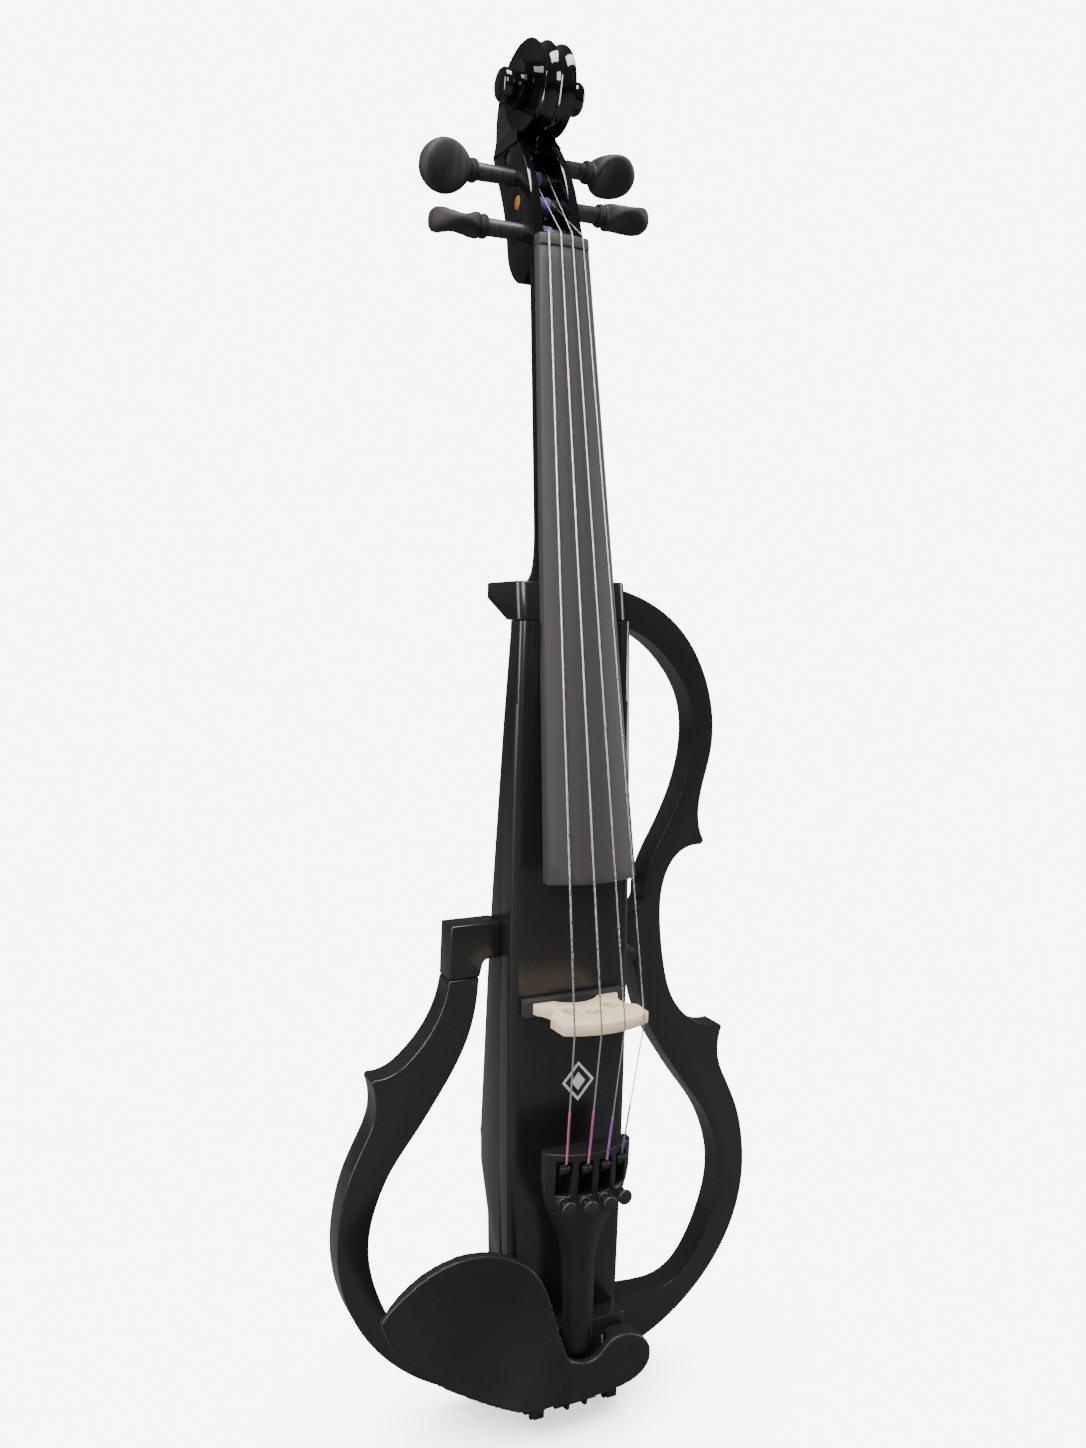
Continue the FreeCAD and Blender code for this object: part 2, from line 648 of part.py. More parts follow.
def board_section(height, raise_by, edge):
    """Cross-section of the fingerboard or the nut, square to the string direction."""
    half = board_half(height)
    front = board_edge_y(height) - raise_by
    back = board_edge_y(height) + edge
    crest = front - arch(half, size("board_arch"))
    return [
        line((-half, back), (half, back)),
        line((half, back), (half, front)),
        arc((half, front), (0, crest), (-half, front)),
        line((-half, front), (-half, back)),
    ]


edge = size("board_edge")
publish(loft("board_loft", [(h, board_section(h, 0, edge)) for h in (BOARD_END, NUT)]),
        "fingerboard")
nut_top = NUT + size("nut_thick")
publish(loft("nut_loft", [(h, board_section(h, size("nut_rise") - fall, edge))
                          for h, fall in ((NUT, 0), (nut_top, 0.22))]), "nut")


def neck_section(height, back):
    """D-shaped cross-section of the neck, flat against the fingerboard."""
    half = board_half(height)
    front = board_under_y(height)
    shoulder = front + 1.5
    steps = 8
    rounded = [(-half * math.cos(math.pi * n / steps),
                shoulder + (back - shoulder) * math.sin(math.pi * n / steps) ** 0.8)
               for n in range(steps + 1)]
    return [
        line((half, front), (-half, front)),
        line((-half, front), (-half, shoulder)),
        curve(*rounded),
        line((half, shoulder), (half, front)),
    ]


heel_z = size("heel_top")
HEEL_RUN = 24.0
long_back = (size("neck_back_nut") - size("neck_back_heel")) / (NUT - heel_z - HEEL_RUN)


def neck_back_y(height):
    """Back of the neck: a straight run, then a hollow curve out to the heel block."""
    run = height - heel_z
    straight = size("neck_back_heel") + (run - HEEL_RUN) * long_back
    if run >= HEEL_RUN:
        return straight
    spread = 1 - math.sqrt(1 - (1 - run / HEEL_RUN) ** 2)
    return straight + (size("heel_root_depth") - size("neck_back_heel") + HEEL_RUN * long_back) * spread


neck_runs = [0, 0.5, 1.5, 3, 5, 7.5, 10.5, 14, 18, HEEL_RUN, NUT - 4 - heel_z]
neck_shaft = loft("neck_shaft", [(heel_z + run, neck_section(heel_z + run, neck_back_y(heel_z + run)))
                                 for run in neck_runs])

EYE_Z = NUT + size("scroll_up")
EYE_Y = size("scroll_depth")
throat = (EYE_Y - 0.5, EYE_Z - 22.3)
nape = (EYE_Y + 27.2, EYE_Z - 22.3)
pegbox_block = prism("pegbox_block", "YZ", [
    line((board_under_y(NUT - 4), NUT - 4), (board_under_y(nut_top), nut_top)),
    curve((board_under_y(nut_top), nut_top), (27.6, NUT + 14), (31.4, NUT + 27),
          (37.6, NUT + 39), throat),
    line(throat, nape),
    curve(nape, (66.4, NUT + 37), (58.4, NUT + 22), (53.6, NUT + 8), (50.6, NUT - 2),
          (44.8, NUT - 9.5), (34.5, NUT - 13.5)),
    line((34.5, NUT - 13.5), (board_under_y(NUT - 4), NUT - 4)),
], "-pegbox_half", "2 * pegbox_half")
peg_slot = prism("peg_slot", "YZ", polygon(
    (10, nut_top + 1.5), (43.5, nut_top + 1.5), (50, NUT + 20), (57.5, NUT + 34),
    (65, NUT + 45.5), (52, NUT + 48), (38, NUT + 44), (10, NUT + 40)),
    "-pegbox_slot_half", "2 * pegbox_slot_half")
side_trims = []
for name, side in SIDES.items():
    trim = box("pegbox_trim_" + name, (0, 0, "string_length"), 20, 90, 90,
               Rotation(AXES["y"], -side * size("pegbox_taper")))
    low = "pegbox_half" if side > 0 else "-pegbox_half - 20"
    trim.setExpression("Placement.Base.x", ref(low))
    side_trims.append(trim)

PEGS = {
    # string: side of its head, turn of its thumb piece in degrees
    "g": (-1, 66.0),
    "e": (1, 70.0),
    "d": (-1, -20.0),
    "a": (1, 28.0),
}
REACH = size("peg_reach")
TIP = -size("pegbox_half") - 1.2
# small ends: flush with the far cheek or a little inside it
PEG_ENDS = {"g": -11.6, "e": -11.2, "d": -10.5, "a": -9.4}


def peg_radius(along):
    """Radius of a peg's taper at a distance from the centre line towards its head."""
    share = (along - TIP) / (REACH - TIP)
    return size("peg_tip_radius") + (size("peg_neck_radius") - size("peg_tip_radius")) * share


peg_bores = []
for name, (side, _) in PEGS.items():
    bore = doc.addObject("Part::Cone", "peg_bore_" + name)
    bore.Radius1 = peg_radius(-20) + size("peg_fit")
    bore.Radius2 = peg_radius(20) + size("peg_fit")
    bore.Height = 40
    place(bore, -20 * side, "peg_%s_depth" % name, "string_length + peg_%s_up" % name,
          Rotation(AXES["z"], Vector(side, 0, 0)))
    peg_bores.append(bore)
head = cut("neck_head", pegbox_block, peg_slot, *side_trims)
neck = cut("neck_bored", fuse("neck_fused", neck_shaft, head), *peg_bores)
publish(neck, "neck")

turn = size("scroll_turn")
scroll_spine = prism("scroll_spine", "YZ", [
    line(throat, nape),
    curve(nape, (EYE_Y + 29.6, EYE_Z - 11), (EYE_Y + 28, EYE_Z), (EYE_Y + 22, EYE_Z + 11.5),
          (EYE_Y + 12, EYE_Z + 18.6), (EYE_Y, EYE_Z + turn), (EYE_Y - 12, EYE_Z + 16.8),
          (EYE_Y - 19, EYE_Z + 8), (EYE_Y - 21, EYE_Z - 2), (EYE_Y - 18.4, EYE_Z - 12),
          (EYE_Y - 11, EYE_Z - 18.6), throat),
], "-scroll_half", "2 * scroll_half")
second_turn = cylinder("second_turn", ("-inner_half", "scroll_depth", "string_length + scroll_up"),
                       "x", "inner_turn", "2 * inner_half")
eyes = cylinder("scroll_eyes", ("-eye_half", "scroll_depth", "string_length + scroll_up"), "x",
                "eye_turn", "2 * eye_half")
publish(fuse("scroll_fused", scroll_spine, second_turn, eyes), "scroll")

# pegs: tapered shank, ringed collar and a thumb piece hollowed on both faces
for name, (side, roll) in PEGS.items():
    head_z = REACH + 3.0 + size("peg_head_radius")
    end = PEG_ENDS[name]
    peg = spun("peg_%s_body" % name, [
        line((0, end), (peg_radius(end), end)),
        line((peg_radius(end), end), (size("peg_neck_radius"), REACH)),
        line((size("peg_neck_radius"), REACH), (4.6, REACH)),
        arc((4.6, REACH), (5.1, REACH + 0.45), (4.6, REACH + 0.9)),
        arc((4.6, REACH + 0.9), (5.3, REACH + 1.35), (4.6, REACH + 1.8)),
        arc((4.6, REACH + 1.8), (5.1, REACH + 2.25), (4.6, REACH + 2.7)),
        line((4.6, REACH + 2.7), (4.0, REACH + 5.5)),
        line((4.0, REACH + 5.5), (0, REACH + 5.5)),
        line((0, REACH + 5.5), (0, end)),
    ])
    face = next(f for f in peg.Origin.OriginFeatures if f.Role == "XZ_Plane")
    disc = peg.newObject("Sketcher::SketchObject", "peg_%s_disc" % name)
    disc.AttachmentSupport = (face, [""])
    disc.MapMode = "FlatFace"
    disc.AttachmentOffset = Placement(Vector(0, 0, -size("peg_head_thick") / 2), Rotation())
    disc.addGeometry(Part.Circle(point(0, head_z), AXES["z"], size("peg_head_radius")), False)
    thumb = peg.newObject("PartDesign::Pad", "peg_%s_thumb" % name)
    thumb.Profile = disc
    thumb.setExpression("Length", ref("peg_head_thick"))
    doc.recompute()
    solid_before = peg.Shape.Volume
    hollow = peg.newObject("Sketcher::SketchObject", "peg_%s_hollow" % name)
    hollow.AttachmentSupport = (next(f for f in peg.Origin.OriginFeatures
                                     if f.Role == "YZ_Plane"), [""])
    hollow.MapMode = "FlatFace"
    hollow.AttachmentOffset = Placement(Vector(0, 0, 14), Rotation())
    sweep = 17.0
    for face_side in (-1, 1):
        middle = point(face_side * (sweep + size("peg_waist") / 2), head_z - 2.5)
        hollow.addGeometry(Part.Circle(middle, AXES["z"], sweep), False)
    waist = peg.newObject("PartDesign::Pocket", "peg_%s_waist" % name)
    waist.Profile = hollow
    waist.Length = 28
    doc.recompute()
    if peg.Shape.Volume >= solid_before:
        raise SystemExit("the hollow of peg %s cuts nothing" % name)
    turned = Rotation(AXES["z"], Vector(side, 0, 0)) * Rotation(AXES["z"], side * roll)
    place(peg, 0, "peg_%s_depth" % name, "string_length + peg_%s_up" % name, turned)
    publish(peg, "peg_" + name)

# ---------------------------------------------------------------- strings

STRINGS = {
    # name: place across the strings, radius, height name at the bridge
    "g": (-1.5, 0.40, "bridge_g"),
    "d": (-0.5, 0.36, "bridge_d"),
    "a": (0.5, 0.32, "bridge_a"),
    "e": (1.5, 0.25, "bridge_e"),
}
TAIL_CREST = 27.6
TAIL_EDGE = 19.3
TAIL_HALF = 20.9
TAIL_ARCH = (TAIL_HALF ** 2 + (TAIL_CREST - TAIL_EDGE) ** 2) / (2 * (TAIL_CREST - TAIL_EDGE))


def tail_string_y(place_across):
    """Middle of a string where it crosses the upper edge of the tailpiece."""
    off_centre = place_across * size("tail_pitch")
    return -TAIL_CREST + arch(off_centre, TAIL_ARCH) - 0.4 - size("string_clear")


def wire_run(points, radius):
    """Wire swept along straight runs, with round corners."""
    start = Part.makeCircle(radius, points[0], points[1] - points[0])
    sweep = Part.BRepOffsetAPI.MakePipeShell(Part.makePolygon(points))
    sweep.add(Part.Wire([start]))
    sweep.setTransitionMode(2)
    sweep.build()
    sweep.makeSolid()
    return sweep.shape()


for name, (across, radius, height) in STRINGS.items():
    drop = size("outer_drop") if abs(across) > 1 else 0
    nut_depth = size("string_nut_depth") + drop
    crown = Vector(across * size("bridge_pitch"), -size(height), 0)
    at_nut = Vector(across * size("nut_pitch"), nut_depth, NUT)
    run = (at_nut - crown) * (1 / NUT)
    over_nut = crown + run * (NUT + size("nut_thick") + 0.3)
    tail_x = across * size("tail_pitch")
    tail = Vector(tail_x, tail_string_y(across), -size("slot_top") + 0.6)
    slot_end = Vector(tail_x, tail_string_y(across) + 0.4, -size("slot_top") - 0.4)
    side, _ = PEGS[name]
    wound = Vector(side * 3.4, size("peg_%s_depth" % name) - size("winding_radius") - radius - 0.3,
                   NUT + size("peg_%s_up" % name))
    wire = doc.addObject("Part::Feature", "string_%s_wire" % name)
    wire.Shape = wire_run([slot_end, tail, crown, over_nut, wound], radius)
    publish(wire, "string_" + name)

# ---------------------------------------------------------------- bridge and pickup

pickup = box("pickup_block", ("-pickup_half", "-pickup_thick", "-pickup_tall / 2"),
             "2 * pickup_half", "pickup_thick", "pickup_tall")
publish(fillet("pickup_rounded", pickup, "string_clear",
               lambda e: e.BoundBox.YMax < -1 and e.BoundBox.XLength > 10), "pickup_bar")

foot = -size("pickup_thick")
foot_half = size("bridge_foot_half")
crown_side = (1.5 * size("bridge_pitch") + 4.2)
clear = size("string_clear")
crown_g = -size("bridge_g") + 0.4 + clear
crown_e = -size("bridge_e") + 0.4 + clear
crown_mid = -(size("bridge_d") + size("bridge_a")) / 2 - 0.25 + 0.4 + clear
waist_y = foot - 14.5
bridge_blank = prism("bridge_blank", "XY", [
    line((-foot_half, foot), (-foot_half + 10, foot)),
    arc((-foot_half + 10, foot), (0, foot - 5.6), (foot_half - 10, foot)),
    line((foot_half - 10, foot), (foot_half, foot)),
    line((foot_half, foot), (foot_half - 0.6, foot - 2.4)),
    curve((foot_half - 0.6, foot - 2.4), (foot_half - 3.2, foot - 6.4), (foot_half - 3.8, waist_y + 3.4),
          (foot_half - 2.0, waist_y - 1), (crown_side, waist_y - 3.6)),
    line((crown_side, waist_y - 3.6), (crown_side - 0.6, crown_e + 2.2)),
    arc((crown_side - 0.6, crown_e + 2.2), (0, crown_mid), (-crown_side + 0.6, crown_g + 2.2)),
    line((-crown_side + 0.6, crown_g + 2.2), (-crown_side, waist_y - 3.6)),
    curve((-crown_side, waist_y - 3.6), (-foot_half + 2.0, waist_y - 1),
          (-foot_half + 3.8, waist_y + 3.4), (-foot_half + 3.2, foot - 6.4),
          (-foot_half + 0.6, foot - 2.4)),
    line((-foot_half + 0.6, foot - 2.4), (-foot_half, foot)),
], "-bridge_foot_thick / 2", "bridge_foot_thick")
lean = math.degrees(math.atan((size("bridge_foot_thick") - size("bridge_top_thick")) / 2 / 33))
taper_cutters = []
for name, side in SIDES.items():
    cutter = box("bridge_taper_" + name, (-30, 0, 0), 60, 60, 10,
                 Rotation(AXES["x"], side * lean) * Rotation(AXES["x"], 0))
    cutter.Placement = Placement(Vector(-30, foot, side * size("bridge_foot_thick") / 2),
                                 Rotation(AXES["x"], side * lean)) * Placement(
        Vector(0, -60, 0 if side > 0 else -10), Rotation())
    taper_cutters.append(cutter)
kidneys = [cylinder("bridge_kidney_" + name, ("%d * 9.8" % side, waist_y + 0.8, -5), "z", 3.6, 10)
           for name, side in SIDES.items()]
hearts = [cylinder("bridge_heart_" + name, ("%d * 2.1" % side, waist_y - 4.2, -5), "z", 2.5, 10)
          for name, side in SIDES.items()]
publish(cut("bridge_cut", bridge_blank, *taper_cutters, *kidneys, *hearts), "bridge")

# ---------------------------------------------------------------- open frame

LOWER_OUTER = [(88.6, -28.4), (87, -34.5), (87.4, -44.5), (92, -55.6), (98.8, -70.5),
               (102.6, -86), (103.8, -102), (101.4, -119.7), (93.2, -139.5), (80.5, -156.2),
               (60.5, -172), (42, -180.4), (25, -184)]
LOWER_INNER = [(25, -155.2), (50, -155.2), (62, -154.2), (70.4, -149.6), (77, -141.8),
               (83.6, -129), (88.2, -115), (89.8, -100), (86.6, -84), (79, -67.8),
               (69, -54.3), (59.4, -40.8), (50, -26), (44, -13), (40.8, 0), (39.8, 9)]
OPENING_LIP = [(39.8, 9), (38.6, 16), (34, 19)]
BASS_OUTER = [(87.6, -27), (78.6, -25.6), (71, -20.2), (62.4, -10.6), (56.4, 0.6), (53.6, 12)]
WAIST = [(87.6, -27), (78.6, -26.2), (70.1, -21.6), (60.4, -10.6), (54.4, 8.8), (52, 29),
         (53.8, 48), (58.6, 57), (73.4, 62.8)]
UPPER_OUTER = [(75, 64.4), (71.6, 76), (73.6, 92), (77.6, 108), (78, 122), (72.6, 143.5),
               (57.8, 165.4), (40, 177.2), (26.5, 181.8)]
UPPER_INNER = [(26.5, 165.8), (39, 161.2), (55, 148), (65.2, 131), (67.4, 114), (63, 91.5),
               (53.2, 70), (45.2, 54.5), (43, 42)]
UPPER_LIP = [(43, 42), (41.6, 36.8), (37.4, 34.7)]


def frame_blank(name, curves):
    """Frame piece at its full thickness, from its front outline."""
    return prism(name, "XZ", curves, "frame_front", "frame_thick")


treble_blank = frame_blank("treble_blank", [
    curve(*UPPER_OUTER),
    line(UPPER_OUTER[-1], UPPER_INNER[0]),
    curve(*UPPER_INNER),
    curve(*UPPER_LIP),
    line(UPPER_LIP[-1], (25, UPPER_LIP[-1][1])),
    line((25, UPPER_LIP[-1][1]), (25, OPENING_LIP[-1][1])),
    line((25, OPENING_LIP[-1][1]), OPENING_LIP[-1]),
    curve(*reversed(OPENING_LIP)),
    curve(*reversed(LOWER_INNER)),
    line(LOWER_INNER[0], LOWER_OUTER[-1]),
    curve(*reversed(LOWER_OUTER)),
    line(LOWER_OUTER[0], WAIST[0]),
    curve(*WAIST),
    line(WAIST[-1], UPPER_OUTER[0]),
])
core_shadow = prism("core_shadow", "XZ",
                    core_outline(0, size("body_top"), -size("body_bottom")), "0",
                    "frame_front + frame_thick + 5")
publish(cut("treble_frame_cut", treble_blank, core_shadow), "treble_frame")

seam = size("seam_up")
bass_blank = frame_blank("bass_blank", [
    curve(*mirrored(LOWER_OUTER)),
    line(mirrored(LOWER_OUTER)[-1], mirrored(LOWER_INNER)[0]),
    curve(*mirrored(LOWER_INNER)),
    line(mirrored(LOWER_INNER)[-1], (-39.4, seam)),
    line((-39.4, seam), mirrored(BASS_OUTER)[-1]),
    curve(*mirrored(BASS_OUTER[::-1])),
    line(mirrored(BASS_OUTER)[0], mirrored(LOWER_OUTER)[0]),
])
bass_shadow = prism("bass_shadow", "XZ",
                    core_outline(0, size("body_top"), -size("body_bottom")), "0",
                    "frame_front + frame_thick + 5")
publish(cut("bass_frame_cut", bass_blank, bass_shadow), "bass_frame")

bracket_seam = seam + size("seam_gap")
bracket_blank = frame_blank("bracket_blank", [
    line((-39.3, bracket_seam), (-38.2, 16.4)),
    arc((-38.2, 16.4), (-36.9, 19.1), (-34.2, 19.9)),
    line((-34.2, 19.9), (-25, 19.9)),
    line((-25, 19.9), (-25, 36.2)),
    line((-25, 36.2), (-52.8, 36.2)),
    line((-52.8, 36.2), (-53.6, bracket_seam)),
    line((-53.6, bracket_seam), (-39.3, bracket_seam)),
])
bracket_shadow = prism("bracket_shadow", "XZ",
                       core_outline(0, size("body_top"), -size("body_bottom")), "0",
                       "frame_front + frame_thick + 5")
publish(cut("bracket_cut", bracket_blank, bracket_shadow), "bass_bracket")

# ---------------------------------------------------------------- tail end

end_block = box("end_block_solid", ("-block_half", "-block_thick", "-body_bottom"),
                "2 * block_half", "block_thick", "body_bottom - block_top")
saddle_seat = box("saddle_seat", ("-saddle_half", "-block_thick - 1", "-body_bottom - 1"),
                  "2 * saddle_half", "4", "saddle_tall + 1")
publish(fillet("end_block_rounded", cut("end_block_seated", end_block, saddle_seat), "frame_edge",
               lambda e: e.BoundBox.ZLength > 20 and e.BoundBox.YMax < -9
               and abs(e.BoundBox.XMin) > 20), "end_block")
saddle = box("saddle_solid", ("-saddle_half", "-block_thick - saddle_rise", "-body_bottom"),
             "2 * saddle_half", "saddle_rise + 3", "saddle_tall")
publish(saddle, "saddle")

button_r = size("button_radius")
out = size("button_out")
button = spun("end_button_body", [
    line((0, -12), (3.2, -12)),
    line((3.2, -12), (3.2, 0)),
    line((3.2, 0), (4.2, 0)),
    line((4.2, 0), (4.2, out - 3)),
    arc((4.2, out - 3), (button_r, out - 1.8), (4.4, out - 0.2)),
    line((4.4, out - 0.2), (0, out)),
    line((0, out), (0, -12)),
])
laid(button, 0, "button_depth", "-body_bottom", Vector(0, 0, -1))
publish(button, "end_button")

gut = size("gut_radius")
half_gut = size("gut_pitch") / 2
over_saddle = -size("block_thick") - size("saddle_rise") - gut - 0.5
gut_low = -size("body_bottom") - gut - 0.4
gut_y = -13.2
round_corner = 1.9
bend = 4.2 + gut + 0.12
slant = bend * math.cos(math.radians(45))
corner_y = over_saddle + round_corner
corner_z = gut_low + round_corner
strand = [
    (half_gut, gut_y, -size("tail_bottom") + 6),
    (half_gut, gut_y, -size("tail_bottom") - 2),
    (half_gut, over_saddle, corner_z + 6),
    (half_gut, over_saddle, corner_z),
    (half_gut, corner_y - round_corner * 0.707, corner_z - round_corner * 0.707),
    (half_gut, corner_y, gut_low),
    (half_gut + 0.2, corner_y + 7, gut_low),
    (bend, size("button_depth"), gut_low),
    (slant, size("button_depth") + slant, gut_low),
]
loop_points = ([Vector(-x, y, z) for x, y, z in strand]
               + [Vector(0, size("button_depth") + bend, gut_low)]
               + [Vector(*p) for p in reversed(strand)])
gut_line = Part.BSplineCurve()
gut_line.interpolate(loop_points)
gut_sweep = Part.BRepOffsetAPI.MakePipeShell(Part.Wire([gut_line.toShape()]))
gut_sweep.add(Part.Wire([Part.makeCircle(gut, loop_points[0], AXES["z"])]))
gut_sweep.setFrenetMode(False)
gut_sweep.build()
gut_sweep.makeSolid()
loop = doc.addObject("Part::Feature", "tailgut_loop")
loop.Shape = gut_sweep.shape()
publish(loop, "tailgut")

# ---------------------------------------------------------------- tailpiece and tuners

# height below the bridge, half width, edge front, crest front, underside
TAIL_SECTIONS = [
    (59.0, 20.9, 19.3, 27.6, 14.8),
    (72.0, 20.8, 18.7, 26.6, 14.2),
    (78.0, 19.9, 18.2, 25.9, 13.8),
    (84.0, 18.4, 17.6, 25.0, 13.2),
    (89.0, 16.5, 16.8, 23.9, 12.4),
    (94.0, 14.2, 15.8, 22.6, 11.4),
    (99.0, 11.8, 14.7, 21.1, 10.4),
    (104.0, 9.8, 13.9, 19.9, 9.8),
    (110.0, 8.5, 13.3, 18.9, 9.5),
    (118.0, 7.8, 13.0, 18.0, 9.5),
    (136.0, 7.4, 13.2, 17.3, 10.6),
    (158.0, 7.2, 13.6, 16.4, 11.2),
]


def tail_section(half, edge_front, crest, under):
    """Cross-section of the tailpiece: flat below, arched in front."""
    return [
        line((-half, -under), (half, -under)),
        line((half, -under), (half, -edge_front)),
        arc((half, -edge_front), (0, -crest), (-half, -edge_front)),
        line((-half, -edge_front), (-half, -under)),
    ]


tail_blank = loft("tail_blank", [(-drop, tail_section(*section))
                                 for drop, *section in TAIL_SECTIONS])
tail_cutters = []
pins = []
for name, (across, _, _) in STRINGS.items():
    x = "%s * tail_pitch" % across
    inner = abs(across) < 1
    surface = 24.9 if inner else 22.2
    tail_cutters.append(box("slot_" + name, (x + " - slot_width / 2", -40, "-slot_bottom"),
                            "slot_width", 40, "slot_bottom - slot_top"))
    tail_cutters.append(box("channel_" + name, (x + " - slot_width / 2", -surface + 4,
                                                "-channel_bottom"),
                            "slot_width", 40, "channel_bottom - slot_top"))
    tail_cutters.append(cylinder("screw_bore_" + name, (x, -40, "-screw_drop"), "y",
                                 "screw_radius + screw_fit", 30))
    pins.append(cylinder("lever_pin_" + name, (x + " - slot_width / 2 - 1.2", -surface + 6.2,
                                               "-pivot_drop"), "x", "pin_radius",
                         "slot_width + 2.4"))
    tail_cutters.append(cylinder("lever_pin_hole_" + name,
                                 (x + " - slot_width / 2 - 1.2", -surface + 6.2, "-pivot_drop"),
                                 "x", "pin_radius", "slot_width + 2.4"))
gut_holes = [cylinder("gut_hole_" + name, ("%d * gut_pitch / 2" % side, gut_y,
                                           "-tail_bottom - 1"), "z", "gut_radius + 0.1", 8)
             for name, side in SIDES.items()]
tailpiece = cut("tailpiece_cut", tail_blank, *tail_cutters, *gut_holes)
publish(tailpiece, "tailpiece")
publish(group("lever_pin_set", *pins), "lever_pins")

for name, (across, _, _) in STRINGS.items():
    x = "%s * tail_pitch" % across
    inner = abs(across) < 1
    surface = 24.9 if inner else 22.2
    pivot_y = -surface + 6.2
    pivot_z = -size("pivot_drop")
    hook_y = tail_string_y(across) + 1.3
    tip_y = pivot_y + 3.4
    tip_z = -size("screw_drop")
    lever_blank = prism("lever_%s_blank" % name, "YZ", polygon(
        (hook_y - 0.6, -size("slot_top") - 1.4), (hook_y - 0.6, -size("slot_top") - 4.6),
        (pivot_y - 2.2, pivot_z - 1.4), (tip_y - 1.1, tip_z + 1.8), (tip_y - 1.1, tip_z - 2.2),
        (tip_y + 1.1, tip_z - 2.2),
        (tip_y + 1.1, tip_z + 1.6), (pivot_y + 2.2, pivot_z + 1.2),
        (hook_y + 2.8, -size("slot_top") - 1.4)), x + " - lever_thick / 2", "lever_thick")
    lever_bore = cylinder("lever_%s_bore" % name, (x + " - 5", pivot_y, "-pivot_drop"), "x",
                          "pin_radius + screw_fit", 10)
    ball_z = -size("slot_top") - 3.0
    ball_space = cylinder("lever_%s_hook" % name, (x + " - 5", hook_y, ball_z), "x", 1.15, 10)
    tail_space = cylinder("lever_%s_throat" % name, (x, hook_y, ball_z), "z", 0.75, 5)
    publish(cut("lever_%s_cut" % name, lever_blank, lever_bore, ball_space, tail_space),
            "lever_" + name)

    ball = cylinder("ball_%s_barrel" % name, (x + " - 2.1", hook_y, ball_z), "x", 1.15, 4.2)
    tail = cylinder("ball_%s_tail" % name, (x, hook_y, ball_z), "z", 0.7, 2.4)
    ball_end = fuse("ball_%s_end" % name, ball, tail)
    publish(ball_end, "ball_end_" + name)

    stem = size("screw_radius")
    cap = size("screw_head_radius")
    out_y = -surface
    depth = tip_y - 1.1 - out_y - 0.9
    screw = spun("tuner_screw_%s_body" % name, [
        line((0, -depth), (stem, -depth)),
        line((stem, -depth), (stem, 4.0)),
        line((stem, 4.0), (2.0, 4.6)),
        line((2.0, 4.6), (cap - 0.3, 5.4)),
        arc((cap - 0.3, 5.4), (cap, 6.2), (cap - 0.4, 7.0)),
        line((cap - 0.4, 7.0), (0, 7.6)),
        line((0, 7.6), (0, -depth)),
    ])
    laid(screw, x, out_y, "-screw_drop", FRONT)
    publish(screw, "tuner_screw_" + name)
    pad = cylinder("screw_tip_%s_disc" % name, (x, tip_y - 1.95, "-screw_drop"), "y", 1.2, 0.8)
    publish(pad, "screw_tip_" + name)

# ---------------------------------------------------------------- chinrest

REST_OUTLINE = [
    (-96.4, -114), (-82, -102.4), (-68, -97.8), (-50, -97.6), (-35, -103.4), (-24.6, -112.5),
    (-18.2, -126), (-14, -143), (-9, -154), (0, -158.6), (6.4, -156.6), (12, -151.6),
    (22, -150.6), (30.4, -155.6), (33, -163.6), (29, -170.6), (18, -174.8), (0, -176),
    (-22, -173.6), (-43, -167.4), (-60, -158.6), (-76, -146.4), (-88.5, -131.5), (-96.4, -114)]


def rest_prism(name, front, back):
    """Part of the chinrest outline between two depths."""
    return prism(name, "XZ", [curve(*REST_OUTLINE[:10]), curve(*REST_OUTLINE[9:])],
                 "-%s" % front, "%s - %s" % (front, back))


def cup_ball(name, extra):
    """Ball whose back side is the hollow of the cup, or its underside with the wall added."""
    ball = doc.addObject("Part::Sphere", name)
    ball.setExpression("Radius", ref("cup_radius + %s" % extra))
    return place(ball, "-cup_side", "-cup_floor - cup_radius", "-cup_drop")


rest_seat = "(block_thick + cork)"
cup_full = common("cup_full", rest_prism("cup_prism", "plate_front", "6"),
                  cup_ball("cup_under", "cup_wall"))
cup = cut("cup", cup_full, cup_ball("cup_hollow", "0"),
          box("cup_clear", (-26, "-block_thick - cork", -200), 80, 40, 100))
lobe_full = rest_prism("lobe_prism", "lobe_front", rest_seat)
lobe_room = box("lobe_room", ("-block_half - 3", "-lobe_front", -190), 80, 40, 40)
lobe = cut("lobe", common("lobe_full", lobe_full, lobe_room), cup_ball("lobe_hollow", "0"))
tailgut_relief = box("tailgut_relief", ("-relief_half", "-relief_front", -200), "2 * relief_half",
                     40, 80)
chinrest = cut("chinrest_cut", fuse("chinrest_fused", cup, lobe), tailgut_relief)
publish(chinrest, "chinrest")

corks = [box("chinrest_cork_" + name, (x, "-block_thick - cork", "-clamp_drop + 17"), 11, "cork", 14)
         for name, x in (("bass", -24.6), ("treble", 13.6))]
publish(group("chinrest_cork_set", *corks), "chinrest_corks")

